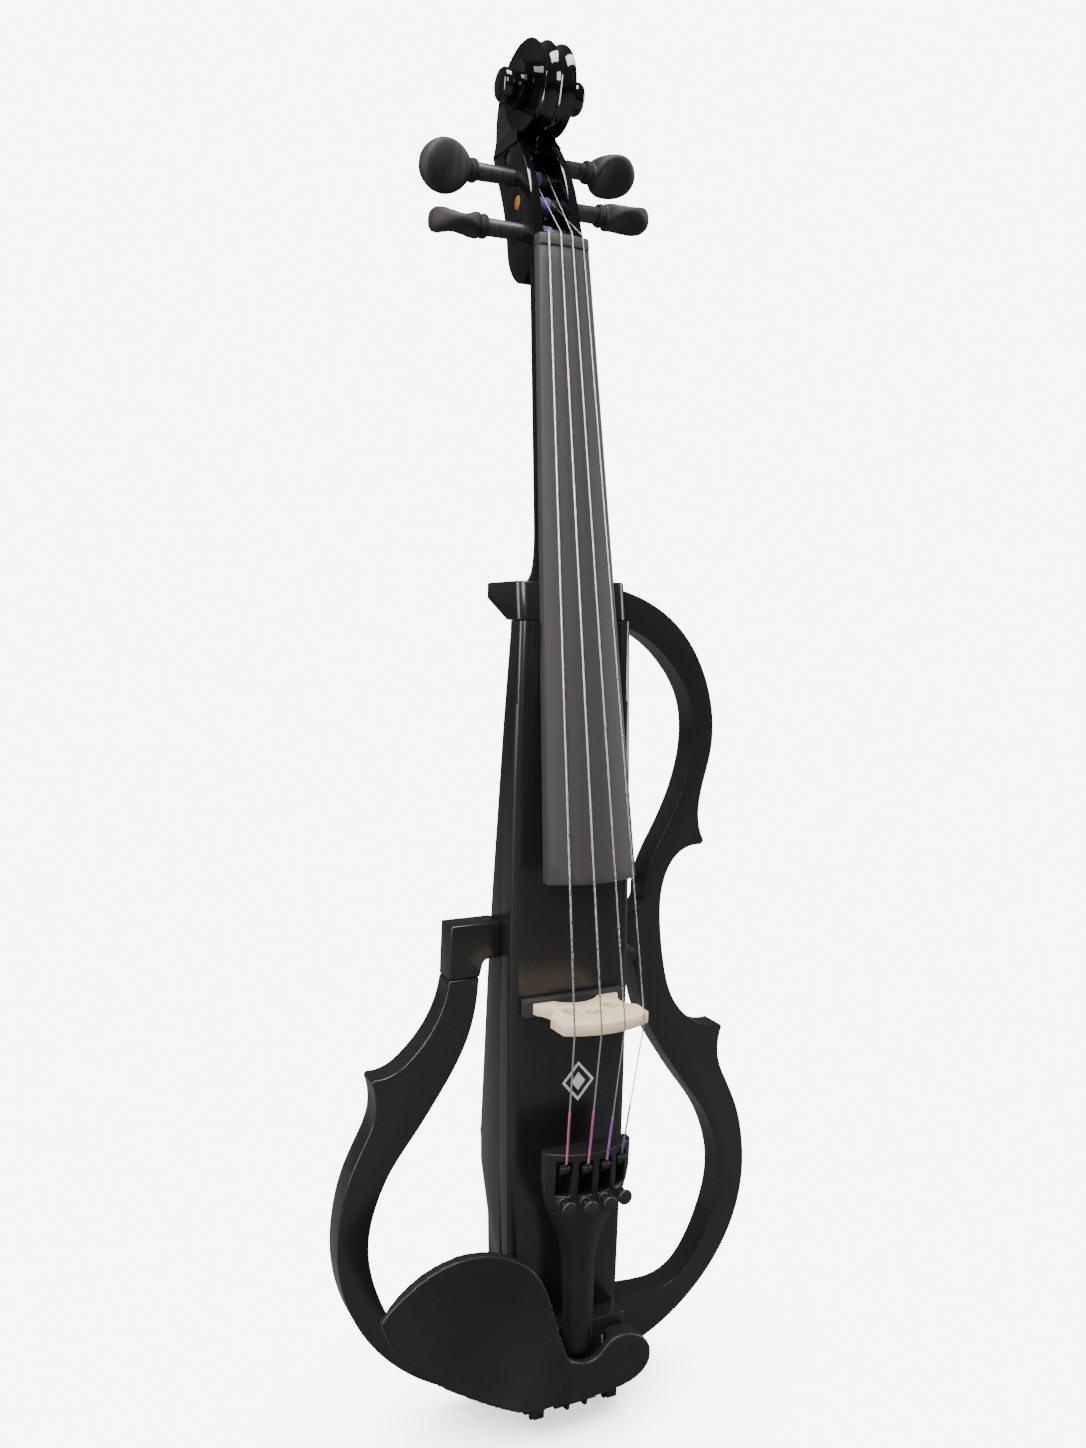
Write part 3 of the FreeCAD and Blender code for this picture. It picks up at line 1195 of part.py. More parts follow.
brackets = []
barrels = []
barrel_start = 0.0
for name, side in SIDES.items():
    x = "%d * clamp_side" % side
    left = x + " - 2.4"
    tab = box("bracket_tab_" + name, (left, "-block_thick - cork", "-body_bottom - 1.9"), 4.8, 1.6,
              15.7)
    shelf = box("bracket_shelf_" + name, (left, "-block_thick - cork", "-body_bottom - 1.9"), 4.8, 6,
                1.5)
    lug = box("bracket_lug_" + name, (left, "-block_thick + 2", "-clamp_drop - 1.6"), 4.8, 2, 3)
    post = cylinder("bracket_post_" + name, (x, "-block_thick + 3", "-clamp_drop"), "y",
                    "post_radius", "block_thick + 2.6")
    brackets.append(fuse("bracket_" + name, tab, shelf, lug, post))
    barrel = cylinder("barrel_rod_" + name, (x, barrel_start, "-clamp_drop"), "y",
                      "barrel_radius", "barrel_length")
    barrel_bore = cylinder("barrel_bore_" + name, (x, barrel_start - 1, "-clamp_drop"), "y",
                           "post_radius + post_fit", "barrel_length + 2")
    key_hole = cylinder("barrel_key_" + name, (x + " - 5", "barrel_length / 2", "-clamp_drop"),
                        "x", 0.9, 10)
    publish(cut("barrel_cut_" + name, barrel, barrel_bore, key_hole), "clamp_barrel_" + name)
publish(group("chinrest_bracket_set", *brackets), "chinrest_brackets")

foot_plate = box("foot_plate", ("-clamp_side - 3.4", "shell_foot + cork", "-clamp_drop - 2.6"),
                 "2 * clamp_side + 6.8", 2.0, "14.6")
foot_window = box("foot_window", ("-clamp_side + 5", "shell_foot", "-clamp_drop - 4"),
                  "2 * clamp_side - 10", 10, 9)
foot_posts = [cylinder("foot_post_" + name, ("%d * clamp_side" % side, 12.6, "-clamp_drop"), "y",
                       "post_radius", "shell_foot + cork - 12")
              for name, side in SIDES.items()]
publish(fuse("clamp_foot_fused", cut("foot_plate_cut", foot_plate, foot_window), *foot_posts),
        "clamp_foot")
publish(box("foot_cork_strip", ("-clamp_side - 3", "shell_foot + 0.02", "-body_bottom + 0.6"),
            "2 * clamp_side + 6", "cork - 0.02", "7"), "clamp_cork")

# ---------------------------------------------------------------- write every piece

doc.recompute()
faulty = [item.Name for item in doc.Objects if {"Invalid", "Error"} & set(item.State)]
if faulty:
    raise SystemExit("failed objects: " + ", ".join(faulty))
for item in parts:
    if item.Shape.isNull() or not item.Shape.isValid() or not item.Shape.Solids:
        raise SystemExit("bad shape: " + item.Label)
os.makedirs("parts", exist_ok=True)
for item in parts:
    item.Shape.exportStep(os.path.join("parts", item.Label + ".step"))
print(len(parts), "sub-parts written")
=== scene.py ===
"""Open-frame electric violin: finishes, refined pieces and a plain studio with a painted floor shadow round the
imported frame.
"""

import json
import logging
import math
from dataclasses import dataclass, field
from enum import Enum
from typing import Optional, Sequence

import bmesh
import bpy
from mathutils import Matrix, Vector
from mathutils.kdtree import KDTree


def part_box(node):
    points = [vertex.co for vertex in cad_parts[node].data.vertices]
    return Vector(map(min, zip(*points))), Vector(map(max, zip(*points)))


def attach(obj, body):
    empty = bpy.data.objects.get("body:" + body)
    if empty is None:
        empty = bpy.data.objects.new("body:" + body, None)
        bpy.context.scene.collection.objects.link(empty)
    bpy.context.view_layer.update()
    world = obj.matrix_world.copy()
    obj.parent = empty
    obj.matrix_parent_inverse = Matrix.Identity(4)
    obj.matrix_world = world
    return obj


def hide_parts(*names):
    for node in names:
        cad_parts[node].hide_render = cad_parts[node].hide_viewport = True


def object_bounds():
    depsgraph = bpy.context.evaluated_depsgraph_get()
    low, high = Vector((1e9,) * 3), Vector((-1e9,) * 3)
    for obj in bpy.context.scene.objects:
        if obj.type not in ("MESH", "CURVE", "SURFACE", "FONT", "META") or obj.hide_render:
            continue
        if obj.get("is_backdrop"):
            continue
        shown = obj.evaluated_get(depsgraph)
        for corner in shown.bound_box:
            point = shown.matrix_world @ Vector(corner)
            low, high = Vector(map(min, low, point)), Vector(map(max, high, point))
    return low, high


log = logging.getLogger("violin")
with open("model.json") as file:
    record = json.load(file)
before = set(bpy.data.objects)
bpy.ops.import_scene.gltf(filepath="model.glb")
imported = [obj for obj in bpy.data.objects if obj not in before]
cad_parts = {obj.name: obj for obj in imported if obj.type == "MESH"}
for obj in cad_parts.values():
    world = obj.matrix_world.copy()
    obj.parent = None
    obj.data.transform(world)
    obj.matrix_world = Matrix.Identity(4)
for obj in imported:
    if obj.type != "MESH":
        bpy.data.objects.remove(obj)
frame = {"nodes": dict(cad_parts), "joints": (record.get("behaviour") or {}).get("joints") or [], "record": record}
MM = 0.001
SOFT = 0.5
Colour = tuple[float, float, float]
Piece = bpy.types.Object
Node = bpy.types.Node
Nodes = bpy.types.Nodes
Links = bpy.types.NodeLinks
Tree = bpy.types.NodeTree
Socket = bpy.types.NodeSocket


class StringName(Enum):
    """The four strings, from the bass side."""

    G = "g"
    D = "d"
    A = "a"
    E = "e"


def body_of_node(node: str) -> str:
    """Name of the moving body that holds a node.

    Args:
        node: name of a node of the frame.

    Returns:
        The body's name.
    """
    bodies = frame["record"]["behaviour"]["bodies"]
    return next(body for body, members in bodies.items() if node in members)


def slot_of_node(node: str) -> str:
    """Material slot that the record gives a node.

    Args:
        node: name of a node of the frame.

    Returns:
        The slot's name.
    """
    return next(s["material_slot"] for s in frame["record"]["subparts"] if s["node"] == node)


def fill(node: Node, values: dict[str, object]) -> Node:
    """Set constants on a node's own sockets.

    Args:
        node: the node.
        values: socket names and their constants.

    Returns:
        The same node.
    """
    for name, value in values.items():
        node.inputs[name].default_value = value
    return node


# Shader groups.


class ShaderGroup:
    """Base of the shared effects, each a node group built once."""

    title = "group"

    def __init__(self) -> None:
        """Start with no tree."""
        self.tree: Optional[Tree] = None

    def inputs(self) -> dict[str, float]:
        """Names and first values of the group's inputs."""
        return {}

    def outputs(self) -> Sequence[str]:
        """Names of the group's outputs."""
        return ("Mask",)

    def wire(self, nodes: Nodes, links: Links, source: Node, sink: Node) -> None:
        """Build the inside of the group.

        Args:
            nodes: nodes of the tree.
            links: links of the tree.
            source: the group's input node.
            sink: the group's output node.
        """

    def get(self) -> Tree:
        """The finished group, built on first use.

        Returns:
            The node tree.
        """
        if self.tree is None:
            tree = bpy.data.node_groups.new(self.title, "ShaderNodeTree")
            for name, value in self.inputs().items():
                socket = tree.interface.new_socket(name, in_out="INPUT",
                                                   socket_type="NodeSocketFloat")
                socket.default_value = value
            for name in self.outputs():
                tree.interface.new_socket(name, in_out="OUTPUT", socket_type="NodeSocketFloat")
            source = tree.nodes.new("NodeGroupInput")
            sink = tree.nodes.new("NodeGroupOutput")
            self.wire(tree.nodes, tree.links, source, sink)
            self.tree = tree
        return self.tree


class Mottle(ShaderGroup):
    """Soft clouds and fine specks, for dust, orange peel and handling marks."""

    title = "mottle"

    def inputs(self) -> dict[str, float]:
        """Cloud scale and speck scale."""
        return {"Clouds": 20.0, "Specks": 900.0}

    def outputs(self) -> Sequence[str]:
        """Cloud mask and speck mask."""
        return ("Mask", "Specks")

    def wire(self, nodes: Nodes, links: Links, source: Node, sink: Node) -> None:
        """Two noises read from the piece's own coordinates."""
        place = nodes.new("ShaderNodeTexCoord")
        for index, name in enumerate(("Clouds", "Specks")):
            noise = fill(nodes.new("ShaderNodeTexNoise"), {"Detail": 4.0})
            links.new(place.outputs["Object"], noise.inputs["Vector"])
            links.new(source.outputs[name], noise.inputs["Scale"])
            links.new(noise.outputs["Fac"], sink.inputs[index])


class Grain(ShaderGroup):
    """Long wood fibres that run along Z."""

    title = "fibre"

    def inputs(self) -> dict[str, float]:
        """Fibres per metre across, and how much they are stretched."""
        return {"Fibres": 400.0, "Stretch": 0.03}

    def outputs(self) -> Sequence[str]:
        """Fibre mask and pore mask."""
        return ("Mask", "Pores")

    def wire(self, nodes: Nodes, links: Links, source: Node, sink: Node) -> None:
        """Noise squeezed along Z, once for bands and once for pores."""
        place = nodes.new("ShaderNodeTexCoord")
        spread = fill(nodes.new("ShaderNodeCombineXYZ"), {"X": 1.0, "Y": 1.0})
        links.new(source.outputs["Stretch"], spread.inputs["Z"])
        stretched = nodes.new("ShaderNodeVectorMath")
        stretched.operation = "MULTIPLY"
        links.new(place.outputs["Object"], stretched.inputs[0])
        links.new(spread.outputs["Vector"], stretched.inputs[1])
        bands = fill(nodes.new("ShaderNodeTexNoise"), {"Detail": 3.0})
        links.new(stretched.outputs["Vector"], bands.inputs["Vector"])
        links.new(source.outputs["Fibres"], bands.inputs["Scale"])
        finer = nodes.new("ShaderNodeMath")
        finer.operation = "MULTIPLY"
        finer.inputs[1].default_value = 4.0
        links.new(source.outputs["Fibres"], finer.inputs[0])
        pores = fill(nodes.new("ShaderNodeTexNoise"), {"Detail": 2.0})
        links.new(stretched.outputs["Vector"], pores.inputs["Vector"])
        links.new(finer.outputs["Value"], pores.inputs["Scale"])
        links.new(bands.outputs["Fac"], sink.inputs[0])
        links.new(pores.outputs["Fac"], sink.inputs[1])


class EdgeWear(ShaderGroup):
    """Bright where the surface turns a sharp corner, broken up by noise."""

    title = "edge_wear"

    def inputs(self) -> dict[str, float]:
        """Noise scale."""
        return {"Break": 300.0}

    def wire(self, nodes: Nodes, links: Links, source: Node, sink: Node) -> None:
        """Pointiness times noise."""
        shape = nodes.new("ShaderNodeNewGeometry")
        reach = fill(nodes.new("ShaderNodeMapRange"), {"From Min": 0.53, "From Max": 0.62})
        links.new(shape.outputs["Pointiness"], reach.inputs["Value"])
        place = nodes.new("ShaderNodeTexCoord")
        noise = nodes.new("ShaderNodeTexNoise")
        links.new(place.outputs["Object"], noise.inputs["Vector"])
        links.new(source.outputs["Break"], noise.inputs["Scale"])
        both = nodes.new("ShaderNodeMath")
        both.operation = "MULTIPLY"
        links.new(reach.outputs["Result"], both.inputs[0])
        links.new(noise.outputs["Fac"], both.inputs[1])
        links.new(both.outputs["Value"], sink.inputs[0])


MOTTLE = Mottle()
GRAIN = Grain()
EDGE_WEAR = EdgeWear()


# Finishes.


@dataclass(frozen=True)
class Finish:
    """A surface: two colours mixed by a mask, two roughnesses and a fine bump."""

    title: str
    base: Colour
    second: Colour
    rough_low: float
    rough_high: float
    metallic: float = 0.0
    coat: float = 0.0
    coat_rough: float = 0.03
    bump: float = 0.0
    bump_scale: float = 900.0
    clouds: float = 20.0
    specular: float = 0.5
    wear: float = 0.0
    grain: bool = False
    fibres: float = 400.0
    stretch: float = 0.03
    sheen: float = 0.0

    def make(self) -> bpy.types.Material:
        """Build the material, or hand back the one already built.

        Returns:
            The material.
        """
        if self.title in bpy.data.materials:
            return bpy.data.materials[self.title]
        material = bpy.data.materials.new(self.title)
        material.use_nodes = True
        nodes = material.node_tree.nodes
        links = material.node_tree.links
        shader = nodes["Principled BSDF"]
        fill(shader, {"Metallic": self.metallic, "Coat Weight": self.coat,
                      "Coat Roughness": self.coat_rough, "Specular IOR Level": self.specular,
                      "Sheen Weight": self.sheen})
        source = nodes.new("ShaderNodeGroup")
        if self.grain:
            source.node_tree = GRAIN.get()
            fill(source, {"Fibres": self.fibres, "Stretch": self.stretch})
        else:
            source.node_tree = MOTTLE.get()
            fill(source, {"Clouds": self.clouds, "Specks": self.bump_scale})
        spread = fill(nodes.new("ShaderNodeMapRange"), {"From Min": 0.35, "From Max": 0.65})
        links.new(source.outputs[0], spread.inputs["Value"])
        blend = nodes.new("ShaderNodeMix")
        blend.data_type = "RGBA"
        fill(blend, {"A": (*self.base, 1.0), "B": (*self.second, 1.0)})
        links.new(spread.outputs["Result"], blend.inputs["Factor"])
        colour = blend.outputs["Result"]
        if self.wear > 0:
            worn = nodes.new("ShaderNodeGroup")
            worn.node_tree = EDGE_WEAR.get()
            lighter = nodes.new("ShaderNodeMix")
            lighter.data_type = "RGBA"
            lighter.inputs["B"].default_value = tuple(min(1.0, c + self.wear)
                                                      for c in self.second) + (1.0,)
            links.new(worn.outputs["Mask"], lighter.inputs["Factor"])
            links.new(colour, lighter.inputs["A"])
            colour = lighter.outputs["Result"]
        links.new(colour, shader.inputs["Base Color"])
        rough = fill(nodes.new("ShaderNodeMapRange"), {
            "From Min": 0.3, "From Max": 0.7, "To Min": self.rough_low,
            "To Max": self.rough_high})
        links.new(source.outputs[0], rough.inputs["Value"])
        links.new(rough.outputs["Result"], shader.inputs["Roughness"])
        if self.bump > 0:
            relief = fill(nodes.new("ShaderNodeBump"),
                          {"Strength": self.bump, "Distance": 0.0004})
            links.new(source.outputs[1], relief.inputs["Height"])
            links.new(relief.outputs["Normal"], shader.inputs["Normal"])
        return material


BLACK_LACQUER = Finish("black_lacquer", (0.0022, 0.0021, 0.0021), (0.0036, 0.0034, 0.0033),
                       0.05, 0.09, coat=0.35, bump=0.008, bump_scale=300.0, clouds=9.0)
FRAME_LACQUER = Finish("frame_lacquer", (0.0035, 0.0034, 0.0034), (0.0055, 0.0052, 0.0050),
                       0.13, 0.19, coat=0.2, coat_rough=0.08, bump=0.01, bump_scale=300.0,
                       clouds=9.0)
SHELL_LACQUER = Finish("shell_lacquer", (0.012, 0.011, 0.0105), (0.019, 0.0175, 0.0165), 0.16, 0.22,
                       coat=0.2, coat_rough=0.1, bump=0.01, bump_scale=300.0, clouds=9.0)
HEAD_LACQUER = Finish("head_lacquer", (0.003, 0.0028, 0.0027), (0.0045, 0.0042, 0.004),
                      0.06, 0.1, coat=0.4, bump=0.008, bump_scale=300.0, clouds=12.0)
BOARD_WOOD = Finish("ebonised_board", (0.036, 0.0355, 0.0365), (0.048, 0.047, 0.048), 0.42, 0.5,
                    bump=0.10, grain=True, fibres=420.0, stretch=0.015, specular=0.45)
EBONY = Finish("ebony", (0.0035, 0.0034, 0.0034), (0.006, 0.0057, 0.0055), 0.22, 0.3, bump=0.02,
               grain=True, fibres=700.0, stretch=0.08, coat=0.3, coat_rough=0.16)
PEG_SHANK = Finish("peg_shank", (0.016, 0.015, 0.0145), (0.03, 0.028, 0.0265), 0.38, 0.5, bump=0.06,
                   grain=True, fibres=700.0, stretch=0.08)
MAPLE = Finish("bare_maple", (0.86, 0.70, 0.46), (0.76, 0.57, 0.34), 0.42, 0.56, bump=0.10,
               grain=True, fibres=520.0, stretch=6.0, wear=0.06)
# Orange disc on the E peg's tip: a painted highlight, a small glint coloured into the end of the shank.
PEG_TIP_GLINT = Finish("painted_glint_tip", (0.42, 0.17, 0.035), (0.30, 0.11, 0.02), 0.4, 0.55, bump=0.1,
                       grain=True, fibres=900.0, stretch=1.0)
MOULDED_BLACK = Finish("moulded_black", (0.0068, 0.0068, 0.007), (0.0092, 0.0091, 0.0093), 0.40,
                       0.50, bump=0.05, bump_scale=2600.0, clouds=30.0, specular=0.42)
REST_BLACK = Finish("rest_black", (0.0075, 0.0074, 0.0074), (0.0105, 0.0102, 0.0102), 0.40, 0.48,
                    bump=0.05, bump_scale=2200.0, clouds=24.0, specular=0.40)
PICKUP_BLACK = Finish("pickup_black", (0.006, 0.006, 0.006), (0.009, 0.009, 0.009), 0.32, 0.45,
                      bump=0.06, bump_scale=1800.0)
BLACK_METAL = Finish("black_metal", (0.010, 0.010, 0.011), (0.018, 0.018, 0.019), 0.2, 0.34,
                     metallic=0.6, wear=0.10, clouds=140.0)
NICKEL = Finish("bright_nickel", (0.70, 0.68, 0.64), (0.62, 0.60, 0.57), 0.12, 0.24, metallic=1.0,
                clouds=90.0, bump=0.02, bump_scale=2400.0)
STEEL_CASE = Finish("zinc_case", (0.52, 0.53, 0.55), (0.45, 0.46, 0.48), 0.3, 0.45, metallic=1.0,
                    clouds=60.0, bump=0.03)
WOUND_STEEL = Finish("wound_string", (0.74, 0.74, 0.75), (0.60, 0.60, 0.62), 0.2, 0.34,
                     metallic=1.0, clouds=600.0)
CORK = Finish("fine_cork", (0.52, 0.33, 0.18), (0.34, 0.20, 0.10), 0.8, 0.92, bump=0.5,
              bump_scale=1400.0, clouds=700.0)
BLACK_CORD = Finish("black_cord", (0.008, 0.008, 0.008), (0.014, 0.014, 0.014), 0.45, 0.6,
                    bump=0.1, bump_scale=1800.0)
GREEN_BOARD = Finish("solder_mask", (0.012, 0.10, 0.04), (0.008, 0.07, 0.03), 0.3, 0.45,
                     clouds=80.0, bump=0.05)
BATTERY_JACKET = Finish("battery_jacket", (0.03, 0.03, 0.034), (0.045, 0.045, 0.05), 0.25, 0.35,
                        metallic=0.5, clouds=40.0)
WHITE_INLAY = Finish("white_inlay", (0.80, 0.79, 0.77), (0.72, 0.71, 0.69), 0.25, 0.35, coat=0.4,
                     clouds=200.0)


@dataclass(frozen=True)
class SilkFinish(Finish):
    """Silk thread with a sheen, in two close shades."""

    rough_low: float = 0.5
    rough_high: float = 0.65
    clouds: float = 160.0
    sheen: float = 0.5


SILKS = {
    StringName.G: SilkFinish("silk_rose", (0.55, 0.035, 0.13), (0.36, 0.03, 0.20)),
    StringName.D: SilkFinish("silk_magenta", (0.50, 0.03, 0.17), (0.22, 0.03, 0.26)),
    StringName.A: SilkFinish("silk_violet", (0.36, 0.06, 0.36), (0.12, 0.04, 0.34)),
    StringName.E: SilkFinish("silk_blue", (0.06, 0.03, 0.22), (0.10, 0.03, 0.20)),
}
PEG_SILK = SilkFinish("silk_indigo", (0.035, 0.018, 0.24), (0.07, 0.02, 0.16), 0.45, 0.6)


# Mesh helpers.


def link_mesh(title: str, mesh: bpy.types.Mesh) -> Piece:
    """Put a mesh in the scene.

    Args:
        title: name of the piece.
        mesh: its mesh, already in place.

    Returns:
        The new object.
    """
    mesh.name = title
    piece = bpy.data.objects.new(title, mesh)
    bpy.context.scene.collection.objects.link(piece)
    return piece


def from_bmesh(title: str, shape: bmesh.types.BMesh) -> Piece:
    """Turn an edit mesh into a piece with outward faces.

    Args:
        title: name of the piece.
        shape: the edit mesh, freed here.

    Returns:
        The new object.
    """
    bmesh.ops.remove_doubles(shape, verts=shape.verts[:], dist=1e-6)
    bmesh.ops.recalc_face_normals(shape, faces=shape.faces[:])
    mesh = bpy.data.meshes.new(title)
    shape.to_mesh(mesh)
    shape.free()
    return link_mesh(title, mesh)


def flatten(piece: Piece) -> Piece:
    """Apply a piece's modifiers to its mesh.

    Args:
        piece: the piece.

    Returns:
        The same object with a plain mesh.
    """
    seen = piece.evaluated_get(bpy.context.evaluated_depsgraph_get())
    plain = bpy.data.meshes.new_from_object(seen)
    piece.modifiers.clear()
    piece.data = plain
    return piece


def smooth(piece: Piece, degrees: float = 35.0) -> Piece:
    """Shade smooth, with edges sharper than an angle kept crisp.

    Args:
        piece: the piece.
        degrees: the angle.

    Returns:
        The same object.
    """
    piece.data.shade_smooth()
    piece.data.set_sharp_from_angle(angle=math.radians(degrees))
    return piece


def dress(piece: Piece, finish: Finish) -> Piece:
    """Give a piece one finish.

    Args:
        piece: the piece.
        finish: its finish.

    Returns:
        The same object.
    """
    piece.data.materials.clear()
    piece.data.materials.append(finish.make())
    for face in piece.data.polygons:
        face.material_index = 0
    return piece


def settle(piece: Piece, body: str, slot: str, *nodes: str) -> Piece:
    """Hand a finished piece to the frame.

    Args:
        piece: the piece.
        body: body that it rides on.
        slot: name of a material slot; not used.
        nodes: nodes that it stands for.

    Returns:
        The same object.
    """
    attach(piece, body)
    if nodes:
        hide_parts(*nodes)
    log.info("%s rides on %s, %d faces", piece.name, body, len(piece.data.polygons))
    return piece


def paint_node(node: str, finish: Finish) -> None:
    """Assign a finish to a node that stays as it is.

    Args:
        node: the node.
        finish: its finish.
    """
    holder = frame["nodes"][node]
    holder.data.materials.clear()
    holder.data.materials.append(finish.make())
    log.info("%s wears %s", node, finish.title)


def copy_node(node: str, title: str) -> Piece:
    """Copy a node's shape as a clean welded mesh.

    Args:
        node: the node.
        title: name of the copy.

    Returns:
        The copy.
    """
    shape = bmesh.new()
    shape.from_mesh(frame["nodes"][node].data)
    bmesh.ops.remove_doubles(shape, verts=shape.verts[:], dist=2e-6)
    bmesh.ops.dissolve_limit(shape, angle_limit=math.radians(0.6), verts=shape.verts[:],
                             edges=shape.edges[:])
    return from_bmesh(title, shape)


def regrid(piece: Piece, voxel: float) -> None:
    """Give a piece an even surface.

    Args:
        piece: the piece.
        voxel: grid of the new surface, in metres.
    """
    grid = piece.modifiers.new("grid", "REMESH")
    grid.mode = "VOXEL"
    grid.voxel_size = voxel


def relax(piece: Piece, factor: float, passes: int, group: str = "") -> None:
    """Relax a piece's surface.

    Args:
        piece: the piece.
        factor: strength of one pass.
        passes: how often the surface is relaxed.
        group: vertex group that limits it.
    """
    soft = piece.modifiers.new("relax", "SMOOTH")
    soft.factor = factor
    soft.iterations = passes
    soft.vertex_group = group


def skin(shape: bmesh.types.BMesh, rings: Sequence[Sequence[bmesh.types.BMVert]]) -> None:
    """Join rings into a closed solid.

    Args:
        shape: the edit mesh.
        rings: rings of equal count, the first and last capped.
    """
    count = len(rings[0])
    for low, high in zip(rings, rings[1:]):
        for k in range(count):
            after = (k + 1) % count
            shape.faces.new((low[k], low[after], high[after], high[k]))
    shape.faces.new(rings[0])
    shape.faces.new(rings[-1])


def split_view(tree: Tree, unseen: Socket, seen: Socket, target: Socket) -> None:
    """Show the camera one shader, and light the scene with another.

    Args:
        tree: node tree of both.
        unseen: shader that lights the scene.
        seen: shader that the camera sees.
        target: where the result goes.
    """
    path = tree.nodes.new("ShaderNodeLightPath")
    mix = tree.nodes.new("ShaderNodeMixShader")
    tree.links.new(path.outputs["Is Camera Ray"], mix.inputs["Fac"])
    tree.links.new(unseen, mix.inputs[1])
    tree.links.new(seen, mix.inputs[2])
    tree.links.new(mix.outputs["Shader"], target)


def eased_copy(node: str, finish: Finish, width: float, segments: int = 3,
               angle: float = 34.0) -> Piece:
    """Stand a copy with eased edges in for a node.

    Args:
        node: the node.
        finish: its finish.
        width: width of the eased edge, in metres.
        segments: steps round the edge.
        angle: edges sharper than this are eased, in degrees.

    Returns:
        The piece.
    """
    piece = copy_node(node, node + "_eased")
    bevel = piece.modifiers.new("ease", "BEVEL")
    bevel.width = width
    bevel.segments = segments
    bevel.limit_method = "ANGLE"
    bevel.angle_limit = math.radians(angle)
    flatten(piece)
    smooth(piece, 32.0)
    dress(piece, finish)
    return settle(piece, body_of_node(node), slot_of_node(node), node)


def moulded_copy(node: str, finish: Finish, voxel: float, passes: int) -> Piece:
    """Stand a softly rounded copy in for a node, as if carved or moulded.

    Args:
        node: the node.
        finish: its finish.
        voxel: grid of the new surface, in metres.
        passes: how often the surface is relaxed.

    Returns:
        The piece.
    """
    piece = copy_node(node, node + "_moulded")
    regrid(piece, voxel)
    relax(piece, SOFT, passes)
    flatten(piece)
    smooth(piece, 70.0)
    dress(piece, finish)
    return settle(piece, body_of_node(node), slot_of_node(node), node)


def lathe(title: str, profile: Sequence[tuple[float, float]], origin: Vector, axis: Vector,
          steps: int = 40) -> Piece:
    """Turned solid from (radius, height) pairs, in millimetres.

    Args:
        title: name of the piece.
        profile: radius and height pairs, from axis to axis or back to the first.
        origin: where height 0 lies, in metres.
        axis: direction of the height.
        steps: faces round it.

    Returns:
        The piece.
    """
    shape = bmesh.new()
    turn = Vector((0, 0, 1)).rotation_difference(axis).to_matrix()
    rings = []
    for radius, height in profile:
        if radius < 1e-6:
            rings.append([shape.verts.new(origin + turn @ Vector((0, 0, height * MM)))])
            continue
        ring = []
        for step in range(steps):
            angle = 2 * math.pi * step / steps
            spot = Vector((radius * math.cos(angle), radius * math.sin(angle), height)) * MM
            ring.append(shape.verts.new(origin + turn @ spot))
        rings.append(ring)
    for low, high in zip(rings, rings[1:]):
        count = max(len(low), len(high))
        for step in range(count):
            after = (step + 1) % count
            corners = [low[step % len(low)], low[after % len(low)], high[after % len(high)],
                       high[step % len(high)]]
            unique = list(dict.fromkeys(corners))
            if len(unique) > 2:
                shape.faces.new(unique)
    return from_bmesh(title, shape)


# Geometry node trees.


